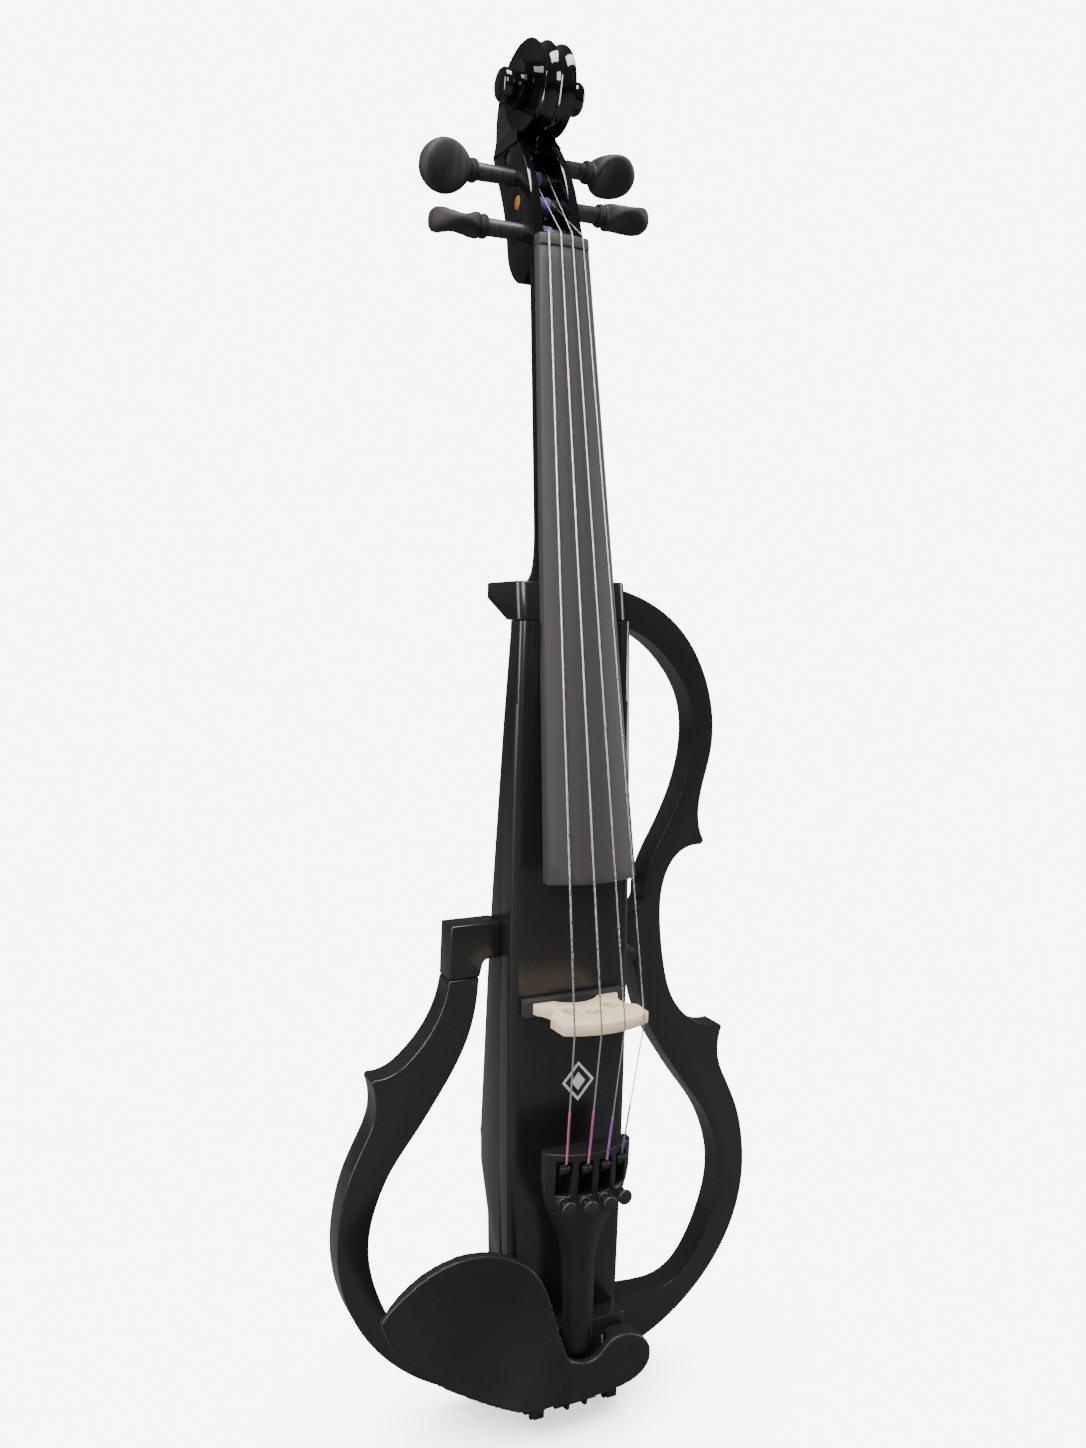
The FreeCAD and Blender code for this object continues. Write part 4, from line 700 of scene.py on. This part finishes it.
class CoilTree:
    """Thread wound round a straight line: a helix with a round section."""

    def __init__(self) -> None:
        """Build the tree with named inputs."""
        tree = bpy.data.node_groups.new("thread_coil", "GeometryNodeTree")
        tree.interface.new_socket("Geometry", in_out="INPUT", socket_type="NodeSocketGeometry")
        for name, value in (("Turns", 10.0), ("Radius", 0.001), ("End Radius", 0.001),
                            ("Height", 0.01), ("Thread", 0.0002)):
            socket = tree.interface.new_socket(name, in_out="INPUT",
                                               socket_type="NodeSocketFloat")
            socket.default_value = value
        tree.interface.new_socket("Material", in_out="INPUT", socket_type="NodeSocketMaterial")
        tree.interface.new_socket("Geometry", in_out="OUTPUT", socket_type="NodeSocketGeometry")
        nodes = tree.nodes
        links = tree.links
        source = nodes.new("NodeGroupInput")
        sink = nodes.new("NodeGroupOutput")
        helix = fill(nodes.new("GeometryNodeCurveSpiral"), {"Resolution": 14})
        for given, taken in (("Turns", "Rotations"), ("Radius", "Start Radius"),
                             ("End Radius", "End Radius"), ("Height", "Height")):
            links.new(source.outputs[given], helix.inputs[taken])
        section = fill(nodes.new("GeometryNodeCurvePrimitiveCircle"), {"Resolution": 6})
        links.new(source.outputs["Thread"], section.inputs["Radius"])
        sweep = fill(nodes.new("GeometryNodeCurveToMesh"), {"Fill Caps": True})
        links.new(helix.outputs["Curve"], sweep.inputs["Curve"])
        links.new(section.outputs["Curve"], sweep.inputs["Profile Curve"])
        even = nodes.new("GeometryNodeSetShadeSmooth")
        links.new(sweep.outputs["Mesh"], even.inputs["Geometry"])
        real = nodes.new("GeometryNodeRealizeInstances")
        links.new(even.outputs["Geometry"], real.inputs["Geometry"])
        finish = nodes.new("GeometryNodeSetMaterial")
        links.new(real.outputs["Geometry"], finish.inputs["Geometry"])
        links.new(source.outputs["Material"], finish.inputs["Material"])
        links.new(finish.outputs["Geometry"], sink.inputs["Geometry"])
        self.tree = tree

    def wind(self, title: str, start: Vector, end: Vector, radii: tuple[float, float],
             thread: float, pitch: float, finish: Finish) -> Piece:
        """Wind thread along a line.

        Args:
            title: name of the piece.
            start: first end of the line, in metres.
            end: other end.
            radii: radius of the winding at each end.
            thread: radius of the thread.
            pitch: distance between turns.
            finish: the thread's finish.

        Returns:
            The piece, a plain mesh in place.
        """
        piece = link_mesh(title, bpy.data.meshes.new(title))
        modifier = piece.modifiers.new("coil", "NODES")
        modifier.node_group = self.tree
        height = (end - start).length
        values = {"Turns": height / pitch, "Radius": radii[0], "End Radius": radii[1],
                  "Height": height, "Thread": thread, "Material": finish.make()}
        for item in self.tree.interface.items_tree:
            if item.in_out == "INPUT" and item.name in values:
                modifier[item.identifier] = values[item.name]
        flatten(piece)
        turn = Vector((0, 0, 1)).rotation_difference(end - start).to_matrix().to_4x4()
        piece.data.transform(Matrix.Translation(start) @ turn)
        return piece


# Sub-assemblies.


@dataclass
class CentreBody:
    """Solid centre: front half, rear shell, heel and end blocks."""

    edge: float = 0.0007
    inlay_side: float = 0.0044
    inlay_drop: float = 0.038
    inlay_outer: float = 0.0092
    inlay_inner: float = 0.0074
    inlay_narrow: float = 0.88
    inlay_sunk: float = 0.00004
    inlay_lip: float = 0.0001

    def build(self) -> None:
        """Dress the body and add the inlay."""
        eased_copy("heel_block", FRAME_LACQUER, 0.0009)
        eased_copy("end_block", FRAME_LACQUER, self.edge)
        eased_copy("body_core", BLACK_LACQUER, self.edge, angle=50.0)
        eased_copy("rear_shell", SHELL_LACQUER, 0.0005, angle=50.0)
        eased_copy("battery_door", SHELL_LACQUER, 0.0004, angle=50.0)
        for node, finish in (("cover_screws", BLACK_METAL), ("battery", BATTERY_JACKET),
                             ("battery_tray", MOULDED_BLACK), ("preamp_board", GREEN_BOARD),
                             ("control_cases", STEEL_CASE)):
            paint_node(node, finish)
        self.inlay()

    def inlay(self) -> None:
        """Plain lozenge let into the face under the bridge."""
        low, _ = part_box("body_core")
        bridge_low, bridge_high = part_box("bridge")
        centre = Vector((self.inlay_side, low.y,
                         (bridge_low.z + bridge_high.z) / 2 - self.inlay_drop))
        corners = [math.radians(90 * k) for k in range(4)]
        outer, inner, lip = self.inlay_outer, self.inlay_inner, self.inlay_lip
        shape = bmesh.new()
        rings = [[shape.verts.new(centre + Vector((radius * self.inlay_narrow * math.sin(a),
                                                   depth, radius * math.cos(a))))
                  for a in corners]
                 for radius, depth in ((outer, self.inlay_sunk), (outer - lip, -lip),
                                       (inner + lip, -lip), (inner, self.inlay_sunk))]
        for first, second in zip(rings, rings[1:] + rings[:1]):
            for k in range(4):
                shape.faces.new((first[k], first[(k + 1) % 4], second[(k + 1) % 4], second[k]))
        drop = [shape.verts.new(centre + Vector((0.0040 * self.inlay_narrow * math.sin(a), y,
                                                 0.0042 * math.cos(a))))
                for y in (self.inlay_sunk, -lip) for a in corners]
        shape.faces.new(drop[:4])
        shape.faces.new(drop[4:])
        for k in range(4):
            shape.faces.new((drop[k], drop[(k + 1) % 4], drop[4 + (k + 1) % 4], drop[4 + k]))
        piece = dress(from_bmesh("lozenge_inlay", shape), WHITE_INLAY)
        settle(piece, "violin", "maple")


@dataclass
class OpenFrame:
    """The bent outline on both sides of the body."""

    edge: float = 0.0016

    def build(self) -> None:
        """Ease the frame's edges."""
        eased_copy("treble_frame", FRAME_LACQUER, self.edge, 4)
        eased_copy("bass_frame", FRAME_LACQUER, self.edge, 4)
        eased_copy("bass_bracket", FRAME_LACQUER, 0.0010, 3)


@dataclass
class NeckAndHead:
    """Neck, fingerboard, nut and the carved scroll."""

    flute_depth: float = 1.5
    ridge_points: int = 21
    steps: int = 190
    eye_behind: float = 21.0
    eye_below: float = 20.5
    core_radius: float = 2.0
    last_turn: float = 430.0
    throat_radius: float = 14.0
    side_inset: float = 2.2
    turns: list[tuple[float, float, float]] = field(default_factory=lambda: [
        # degrees round the eye from the back, outer radius, half width, in millimetres
        (-41, 35.2, 8.8), (-20, 30.9, 8.4), (0, 28.2, 8.1), (30, 24.8, 7.9), (60, 22.1, 7.8),
        (90, 20.9, 7.7), (135, 20.8, 7.8), (180, 20.8, 8.0), (225, 20.0, 8.4), (270, 18.4, 8.9),
        (315, 16.9, 9.6), (360, 15.4, 10.4), (405, 14.0, 11.1), (450, 12.8, 11.7),
        (540, 11.3, 12.6), (630, 10.0, 13.6), (720, 8.9, 14.8), (790, 8.0, 15.6)])

    def build(self) -> None:
        """Dress the neck and carve the scroll."""
        eased_copy("neck", HEAD_LACQUER, 0.0012, 3, 40.0)
        eased_copy("fingerboard", BOARD_WOOD, 0.0006, 2, 40.0)
        eased_copy("nut", BOARD_WOOD, 0.0004, 2)
        self.scroll()

    def at(self, degrees: float) -> tuple[float, float]:
        """Outer radius and half width of the volute at an angle.

        Args:
            degrees: angle round the eye.

        Returns:
            Radius and half width, in millimetres.
        """
        for (a0, r0, h0), (a1, r1, h1) in zip(self.turns, self.turns[1:]):
            if degrees <= a1:
                share = (degrees - a0) / (a1 - a0)
                return r0 + (r1 - r0) * share, h0 + (h1 - h0) * share
        return self.turns[-1][1:]

    def scroll(self) -> None:
        """Volute of two turns with a double flute, its eye and the root under it."""
        low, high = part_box("scroll")
        centre = Vector((0.0, low.y + self.eye_behind * MM, high.z - self.eye_below * MM))
        shape = bmesh.new()
        first, last = self.turns[0][0], self.turns[-1][0]
        rings = []
        for step in range(self.steps + 1):
            angle = first + (last - first) * step / self.steps
            outer, half = self.at(angle)
            inner = self.core_radius if angle > self.last_turn else self.at(angle + 360)[0] - 1.2
            if angle < 0:
                inner = self.throat_radius
            turn = math.radians(angle)
            out = Vector((0, math.cos(turn), math.sin(turn)))
            depth = self.flute_depth * min(1.0, (angle - first) / 30.0)
            ring = []
            for k in range(self.ridge_points):
                across = -1 + 2 * k / (self.ridge_points - 1)
                scoop = depth * math.sin(math.pi * min(1.0, abs(across) * 1.04)) ** 0.8
                edge = 0.45 * max(0.0, abs(across) - 0.93) / 0.07
                ring.append(centre + (out * (outer - scoop - edge)
                                      + Vector((half * across, 0, 0))) * MM)
            wall = [(outer - self.side_inset, half * 0.985), (inner, half * 0.93)]
            ring += [centre + (out * deep + Vector((wide, 0, 0))) * MM for deep, wide in wall]
            ring += [centre + (out * deep - Vector((wide, 0, 0))) * MM
                     for deep, wide in reversed(wall)]
            rings.append([shape.verts.new(spot) for spot in ring])
        skin(shape, rings)
        volute = from_bmesh("scroll_volute", shape)
        smooth(volute, 50.0)
        dress(volute, HEAD_LACQUER)
        settle(volute, "violin", slot_of_node("scroll"), "scroll")
        eye_half = (high.x - low.x) / 2 / MM
        eyes = lathe("scroll_eyes", [
            (0, -eye_half - 0.3), (5.2, -eye_half - 0.1), (6.5, -eye_half + 0.5),
            (7.2, -eye_half + 1.6), (7.2, -eye_half + 4.2), (6.8, -eye_half + 5.6),
            (6.6, -eye_half + 8), (6.6, eye_half - 8), (6.8, eye_half - 5.6),
            (7.2, eye_half - 4.2), (7.2, eye_half - 1.6), (6.5, eye_half - 0.5),
            (5.2, eye_half + 0.1), (0, eye_half + 0.3)],
            centre, Vector((1, 0, 0)), 48)
        smooth(eyes, 60.0)
        dress(eyes, HEAD_LACQUER)
        settle(eyes, "violin", slot_of_node("scroll"))
        self.root(centre)

    def root(self, centre: Vector) -> None:
        """Neck of the scroll, between the pegbox and the volute.

        Args:
            centre: middle of the eye, in metres.
        """
        rows = [(-0.5, 27.2, -22.3, 11.0), (1.5, 27.8, -20.0, 10.2), (3.0, 28.4, -17.0, 9.4),
                (4.0, 28.8, -13.5, 8.8), (4.0, 28.6, -8.0, 8.3), (4.0, 28.0, 0.0, 8.1)]
        shape = bmesh.new()
        rings = []
        for front, back, height, half in rows:
            spots = [(-half, front), (half, front), (half, back - 1.2), (half - 1.0, back),
                     (-half + 1.0, back), (-half, back - 1.2)]
            rings.append([shape.verts.new(centre + Vector((x, y, height)) * MM)
                          for x, y in spots])
        skin(shape, rings)
        piece = smooth(from_bmesh("scroll_root", shape), 40.0)
        dress(piece, HEAD_LACQUER)
        settle(piece, "violin", slot_of_node("scroll"))


@dataclass
class Pegs:
    """Four turned pegs with carved thumb pieces and wound string ends."""

    coils: CoilTree
    reach: float = 28.6
    head_radius: float = 11.5
    stations: int = 44
    around: int = 56
    coil_side: float = 0.0034
    coil_length: float = 0.0058
    coil_radius: float = 0.00385
    coil_thread: float = 0.00033
    coil_pitch: float = 0.00072
    ends: dict[StringName, float] = field(default_factory=lambda: {
        StringName.G: -11.6, StringName.E: -11.2, StringName.D: -10.5, StringName.A: -9.4})

    def build(self) -> None:
        """Make each peg and what is wound on it."""
        for name in StringName:
            self.peg(name)

    def axis(self, name: StringName) -> tuple[Vector, Vector, float]:
        """Place, direction and roll of a peg.

        Args:
            name: its string.

        Returns:
            Point on the centre line, direction to the head and roll in degrees.
        """
        joint = next(j for j in frame["joints"] if j["child"] == "peg_%s_body" % name.value)
        rolls = {StringName.G: 84.0, StringName.D: -16.0, StringName.A: 52.0, StringName.E: 82.0}
        return Vector(joint["pos_m"]), Vector(joint["axis"]).normalized(), rolls[name]

    def peg(self, name: StringName) -> None:
        """Shank, rings and thumb piece.

        Args:
            name: its string.
        """
        origin, axis, roll = self.axis(name)
        node = "peg_" + name.value
        body = body_of_node(node)
        r = self.reach
        tip = self.ends[name]
        shank = lathe(node + "_shank", [
            (0, tip), (2.7, tip), (3.25, tip + 0.4), (3.86, r - 0.4), (3.7, r), (4.5, r + 0.05),
            (5.0, r + 0.25), (5.1, r + 0.45), (5.0, r + 0.65), (4.5, r + 0.85), (4.5, r + 0.95),
            (5.2, r + 1.15), (5.3, r + 1.35), (5.2, r + 1.55), (4.5, r + 1.75), (4.5, r + 1.85),
            (5.0, r + 2.05), (5.1, r + 2.25), (5.0, r + 2.45), (4.5, r + 2.7), (4.1, r + 3.2),
            (4.3, r + 4.2), (4.6, r + 5.5), (0, r + 6.5)], origin, axis, 40)
        smooth(shank, 50.0)
        # Only the E peg's tip takes the orange painted highlight; the other tips stay ebony.
        tip_finish = PEG_TIP_GLINT if name is StringName.E else EBONY
        for finish in (EBONY, PEG_SHANK, tip_finish):
            shank.data.materials.append(finish.make())
        for face in shank.data.polygons:
            along = (face.center - origin).dot(axis) / MM
            face.material_index = 0 if along > r - 0.2 else 1
            if along < tip + 0.5:
                face.material_index = 2
        settle(shank, body, slot_of_node(node), node)
        thumb = self.thumb(node, origin, axis, roll)
        settle(thumb, body, slot_of_node(node))
        self.winding(name, origin, body)

    def thumb(self, node: str, origin: Vector, axis: Vector, roll: float) -> Piece:
        """Flattened ball with a hollow waist.

        Args:
            node: the peg.
            origin: point on the peg's line.
            axis: direction to the head.
            roll: turn of the thumb piece.

        Returns:
            The piece.
        """
        shape = bmesh.new()
        radius = self.head_radius
        turn = Vector((0, 0, 1)).rotation_difference(axis).to_matrix()
        turn = turn @ Matrix.Rotation(math.radians(roll), 3, "Z")
        start = origin + axis * (self.reach + 2.9) * MM
        length = 2 * radius
        rings = []
        for step in range(self.stations + 1):
            share = 0.5 - 0.5 * math.cos(math.pi * step / self.stations)
            along = length * share
            wide = math.sqrt(max(0.0, radius ** 2 - (along - radius) ** 2))
            wide = max(wide, 4.9 * (1 - share) ** 0.25 if share < 0.2 else 0.0)
            thick = self.thickness(share)
            ring = []
            for k in range(self.around):
                angle = 2 * math.pi * k / self.around
                x = math.copysign(abs(math.cos(angle)) ** 0.86, math.cos(angle)) * wide
                y = math.copysign(abs(math.sin(angle)) ** 0.80, math.sin(angle)) * thick
                ring.append(shape.verts.new(start + turn @ Vector((x, y, along)) * MM))
            rings.append(ring)
        skin(shape, rings[:-1])
        piece = smooth(from_bmesh(node + "_thumb", shape), 60.0)
        return dress(piece, EBONY)

    def thickness(self, share: float) -> float:
        """Half thickness of the thumb piece.

        Args:
            share: how far from the rings to its end, 0 to 1.

        Returns:
            Half thickness in millimetres.
        """
        stops = [(0.0, 4.6), (0.06, 5.5), (0.14, 5.2), (0.26, 4.1), (0.40, 3.3), (0.52, 3.4),
                 (0.66, 4.2), (0.80, 5.1), (0.90, 5.0), (0.96, 3.9), (0.99, 2.2), (1.0, 0.9)]
        for (s0, t0), (s1, t1) in zip(stops, stops[1:]):
            if share <= s1:
                mix = (share - s0) / (s1 - s0)
                mix = mix * mix * (3 - 2 * mix)
                return t0 + (t1 - t0) * mix
        return stops[-1][1]

    def winding(self, name: StringName, origin: Vector, body: str) -> None:
        """Silk-covered string end wound round the peg.

        Args:
            name: the string.
            origin: point on the peg's line.
            body: the peg's body.
        """
        side = -1 if name in (StringName.G, StringName.D) else 1
        start = Vector((side * self.coil_side, origin.y, origin.z))
        end = start - Vector((side * self.coil_length, 0, 0))
        piece = self.coils.wind("winding_" + name.value, start, end,
                                (self.coil_radius, self.coil_radius), self.coil_thread,
                                self.coil_pitch, PEG_SILK)
        settle(piece, body, "nylon")


@dataclass
class StringSet:
    """Strings, their silk ends and the balls in the tuner levers."""

    coils: CoilTree
    silk_length: dict[StringName, float] = field(default_factory=lambda: {
        StringName.G: 0.0255, StringName.D: 0.0255, StringName.A: 0.0210, StringName.E: 0.0235})

    def build(self) -> None:
        """Dress the strings and wind the silk over their lower ends."""
        for name in StringName:
            paint_node("string_" + name.value, WOUND_STEEL)
            paint_node("ball_end_" + name.value, BLACK_METAL)
            self.silk(name)

    def silk(self, name: StringName) -> None:
        """Silk over the string from the tailpiece up.

        Args:
            name: the string.
        """
        mesh = frame["nodes"]["string_" + name.value].data
        floor = min(v.co.z for v in mesh.vertices)
        bridge_low, bridge_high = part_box("bridge")
        bridge_z = (bridge_low.z + bridge_high.z) / 2
        painted_shadow_ao = [v.co for v in mesh.vertices if abs(v.co.z - floor) < 0.0022]
        start = sum(painted_shadow_ao, Vector()) / len(painted_shadow_ao)
        crown = [v.co for v in mesh.vertices if abs(v.co.z - bridge_z) < 0.0006]
        end = sum(crown, Vector()) / len(crown)
        start = start - (end - start).normalized() * 0.0004
        direction = (end - start).normalized()
        radius = 0.00034 if name is not StringName.E else 0.00026
        finish = start + direction * self.silk_length[name]
        piece = self.coils.wind("silk_" + name.value, start, finish, (radius, radius), 0.00016,
                                0.00030, SILKS[name])
        settle(piece, "violin", "string_steel")


@dataclass
class BridgeAndPickup:
    """Maple bridge standing on the pickup bar."""

    def build(self) -> None:
        """Ease and dress both."""
        eased_copy("bridge", MAPLE, 0.00035, 2, 40.0)
        eased_copy("pickup_bar", PICKUP_BLACK, 0.0004, 2)


@dataclass
class TailEnd:
    """Tailpiece, tuners, tailgut, saddle and end button."""

    def build(self) -> None:
        """Round the tailpiece and dress the fittings."""
        moulded_copy("tailpiece", MOULDED_BLACK, 0.00042, 7)
        for name in StringName:
            for part in ("lever_", "tuner_screw_", "screw_tip_"):
                paint_node(part + name.value, BLACK_METAL)
            self.collar(name)
        paint_node("lever_pins", BLACK_METAL)
        paint_node("saddle", EBONY)
        paint_node("tailgut", BLACK_CORD)
        eased_copy("end_button", EBONY, 0.0003, 2)

    def collar(self, name: StringName) -> None:
        """Plain collar round a tuner screw, where it enters the tailpiece.

        Args:
            name: its string.
        """
        joint = next(j for j in frame["joints"] if j["name"] == "screw_turn_" + name.value)
        origin = Vector(joint["pos_m"])
        piece = lathe("collar_" + name.value, [
            (1.45, -1.5), (2.7, -1.5), (2.7, 0.7), (2.4, 1.1), (1.45, 1.1), (1.45, -1.5)],
            origin, Vector((0, -1, 0)), 28)
        smooth(piece)
        dress(piece, BLACK_METAL)
        settle(piece, "violin", "black_metal")


@dataclass
class ChinRest:
    """Cup, cork and clamp."""

    voxel: float = 0.00085
    rim_lean: float = -0.45
    rim_width: float = 0.0012
    rim_fade: float = 0.004
    calm_factor: float = 0.8
    calm_passes: int = 160
    even_passes: int = 5

    def build(self) -> None:
        """Mould the cup and dress the clamp."""
        self.cup()
        paint_node("chinrest_corks", CORK)
        paint_node("clamp_cork", CORK)
        for node in ("chinrest_brackets", "clamp_barrel_bass", "clamp_barrel_treble",
                     "clamp_foot"):
            paint_node(node, BLACK_METAL)

    def cup(self) -> None:
        """Cup with its rim kept and the joint between cup and lobe blended away."""
        piece = copy_node("chinrest", "chinrest_moulded")
        regrid(piece, self.voxel)
        flatten(piece)
        mesh = piece.data
        rim = KDTree(len(mesh.vertices))
        for vert in mesh.vertices:
            if vert.normal.y > self.rim_lean:
                rim.insert(vert.co, vert.index)
        rim.balance()
        face = piece.vertex_groups.new(name="face")
        for vert in mesh.vertices:
            gap = rim.find(vert.co)[2]
            weight = min(1.0, max(0.0, (gap - self.rim_width) / self.rim_fade))
            face.add([vert.index], weight, "REPLACE")
        relax(piece, self.calm_factor, self.calm_passes, "face")
        relax(piece, SOFT, self.even_passes)
        flatten(piece)
        piece.vertex_groups.clear()
        smooth(piece, 70.0)
        dress(piece, REST_BLACK)
        settle(piece, "violin", slot_of_node("chinrest"), "chinrest")


@dataclass
class RearControls:
    """Knobs, switch and sockets."""

    def build(self) -> None:
        """Dress the controls."""
        for node in ("volume_knob", "tone_knob"):
            eased_copy(node, MOULDED_BLACK, 0.0003, 2, 30.0)
            self.pointer(node)
        eased_copy("power_switch", MOULDED_BLACK, 0.0003, 2)
        paint_node("output_jack", NICKEL)
        paint_node("headphone_jack", NICKEL)

    def pointer(self, node: str) -> None:
        """White line on a knob's face.

        Args:
            node: the knob.
        """
        low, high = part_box(node)
        centre = Vector(((low.x + high.x) / 2, high.y, (low.z + high.z) / 2))
        shape = bmesh.new()
        corners = [Vector((x, y, z)) for y in (-0.0004, 0.00008)
                   for x, z in ((-0.0004, 0.0018), (0.0004, 0.0018), (0.0004, 0.0049),
                                (-0.0004, 0.0049))]
        verts = [shape.verts.new(centre + c) for c in corners]
        for face in ((0, 1, 2, 3), (4, 5, 6, 7), (0, 1, 5, 4), (1, 2, 6, 5), (2, 3, 7, 6),
                     (3, 0, 4, 7)):
            shape.faces.new([verts[k] for k in face])
        piece = dress(from_bmesh(node + "_pointer", shape), WHITE_INLAY)
        settle(piece, body_of_node(node), slot_of_node(node))


@dataclass
class Studio:
    """Pale floor with a painted contact shadow, soft lights and the camera."""

    eye: Vector = field(default_factory=lambda: Vector((-0.248716, -0.5066, -0.134749)))
    yaw: float = -26.0666
    pitch: float = -6.1626
    roll: float = -0.9324
    lens: float = 30.907
    white: float = 8.0

    def build(self) -> None:
        """Set the whole stage."""
        self.floor()
        self.lights()
        self.world()
        self.camera()

    def floor(self) -> None:
        """Wide pale floor just under the instrument, with a painted contact shadow: the glow that the camera sees
        is darkened by ambient occlusion near the instrument.
        """
        low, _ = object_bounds()
        shape = bmesh.new()
        reach = 30.0
        height = low[2] - 0.0005
        corners = [shape.verts.new((x * reach, y * reach, height))
                   for x, y in ((-1, -1), (1, -1), (1, 1), (-1, 1))]
        shape.faces.new(corners)
        piece = from_bmesh("studio_floor", shape)
        material = bpy.data.materials.new("studio_paper_painted_shadow")
        material.use_nodes = True
        nodes = material.node_tree.nodes
        links = material.node_tree.links
        shader = nodes["Principled BSDF"]
        fill(shader, {"Base Color": (0.16, 0.16, 0.16, 1.0), "Roughness": 0.95,
                      "Specular IOR Level": 0.0})
        # Painted shadow: ambient occlusion dims the floor's glow near the instrument, standing in for its contact
        # shadow.
        painted_shadow_ao = fill(nodes.new("ShaderNodeAmbientOcclusion"), {"Distance": 0.085})
        painted_shadow_ao.samples = 16
        painted_shadow_strength = nodes.new("ShaderNodeMapRange")
        painted_shadow_strength.interpolation_type = "SMOOTHSTEP"
        fill(painted_shadow_strength, {"From Min": 0.2, "From Max": 0.97, "To Min": 1.3, "To Max": self.white})
        links.new(painted_shadow_ao.outputs["AO"], painted_shadow_strength.inputs["Value"])
        glow = nodes.new("ShaderNodeEmission")
        links.new(painted_shadow_strength.outputs["Result"], glow.inputs["Strength"])
        split_view(material.node_tree, shader.outputs["BSDF"], glow.outputs["Emission"],
                   nodes["Material Output"].inputs["Surface"])
        piece.data.materials.append(material)
        piece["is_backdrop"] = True

    def lamp(self, title: str, place: tuple[float, float, float], target: Vector,
             size: tuple[float, float], power: float) -> None:
        """One soft rectangular light.

        Args:
            title: its name.
            place: where it hangs.
            target: what it points at.
            size: width and height.
            power: watts.
        """
        data = bpy.data.lights.new(title, "AREA")
        data.shape = "RECTANGLE"
        data.size, data.size_y = size
        data.energy = power
        lamp = bpy.data.objects.new(title, data)
        lamp.location = place
        lamp.rotation_euler = (target - Vector(place)).to_track_quat("-Z", "Y").to_euler()
        bpy.context.scene.collection.objects.link(lamp)

    def lights(self) -> None:
        """Soft lights on the left, on the right, above and in front."""
        middle = Vector((0.0, 0.0, -0.2))
        self.lamp("left_softbox", (-1.6, 0.1, 0.25), middle, (0.5, 1.3), 24.0)
        self.lamp("right_strip", (1.5, -0.25, 0.1), middle, (0.3, 1.2), 16.0)
        self.lamp("top_softbox", (-0.1, -0.5, 1.5), middle, (1.2, 0.8), 62.0)
        self.lamp("front_fill", (-1.1, -1.5, 0.7), middle, (0.7, 0.7), 26.0)

    def world(self) -> None:
        """Bright backdrop for the camera, dimmer for what it lights."""
        world = bpy.data.worlds.new("studio_air")
        world.use_nodes = True
        nodes = world.node_tree.nodes
        pure = (1.0, 1.0, 1.0, 1.0)
        bright = fill(nodes["Background"], {"Color": pure, "Strength": self.white})
        dim = fill(nodes.new("ShaderNodeBackground"), {"Color": pure, "Strength": 0.09})
        split_view(world.node_tree, dim.outputs["Background"], bright.outputs["Background"],
                   nodes["World Output"].inputs["Surface"])
        bpy.context.scene.world = world

    def camera(self) -> None:
        """Upright camera in front of the instrument, on its bass side."""
        data = bpy.data.cameras.new("camera")
        data.sensor_fit = "VERTICAL"
        data.sensor_height = 36.0
        data.lens = self.lens
        data.clip_start = 0.01
        camera = bpy.data.objects.new("camera", data)
        turn = (Matrix.Rotation(math.radians(self.yaw), 4, "Z")
                @ Matrix.Rotation(math.radians(self.pitch), 4, "X")
                @ Matrix.Rotation(math.radians(self.roll), 4, "Y")
                @ Matrix.Rotation(math.radians(90), 4, "X"))
        camera.matrix_world = Matrix.Translation(self.eye) @ turn
        bpy.context.scene.collection.objects.link(camera)
        bpy.context.scene.camera = camera


def main() -> None:
    """Build every sub-assembly in order."""
    logging.basicConfig(level=logging.INFO, format="%(message)s")
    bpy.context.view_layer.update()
    coils = CoilTree()
    for assembly in (CentreBody(), OpenFrame(), NeckAndHead(), Pegs(coils), StringSet(coils),
                     BridgeAndPickup(), TailEnd(), ChinRest(), RearControls(), Studio()):
        log.info("building %s", type(assembly).__name__)
        assembly.build()


if __name__ == "__main__":
    main()
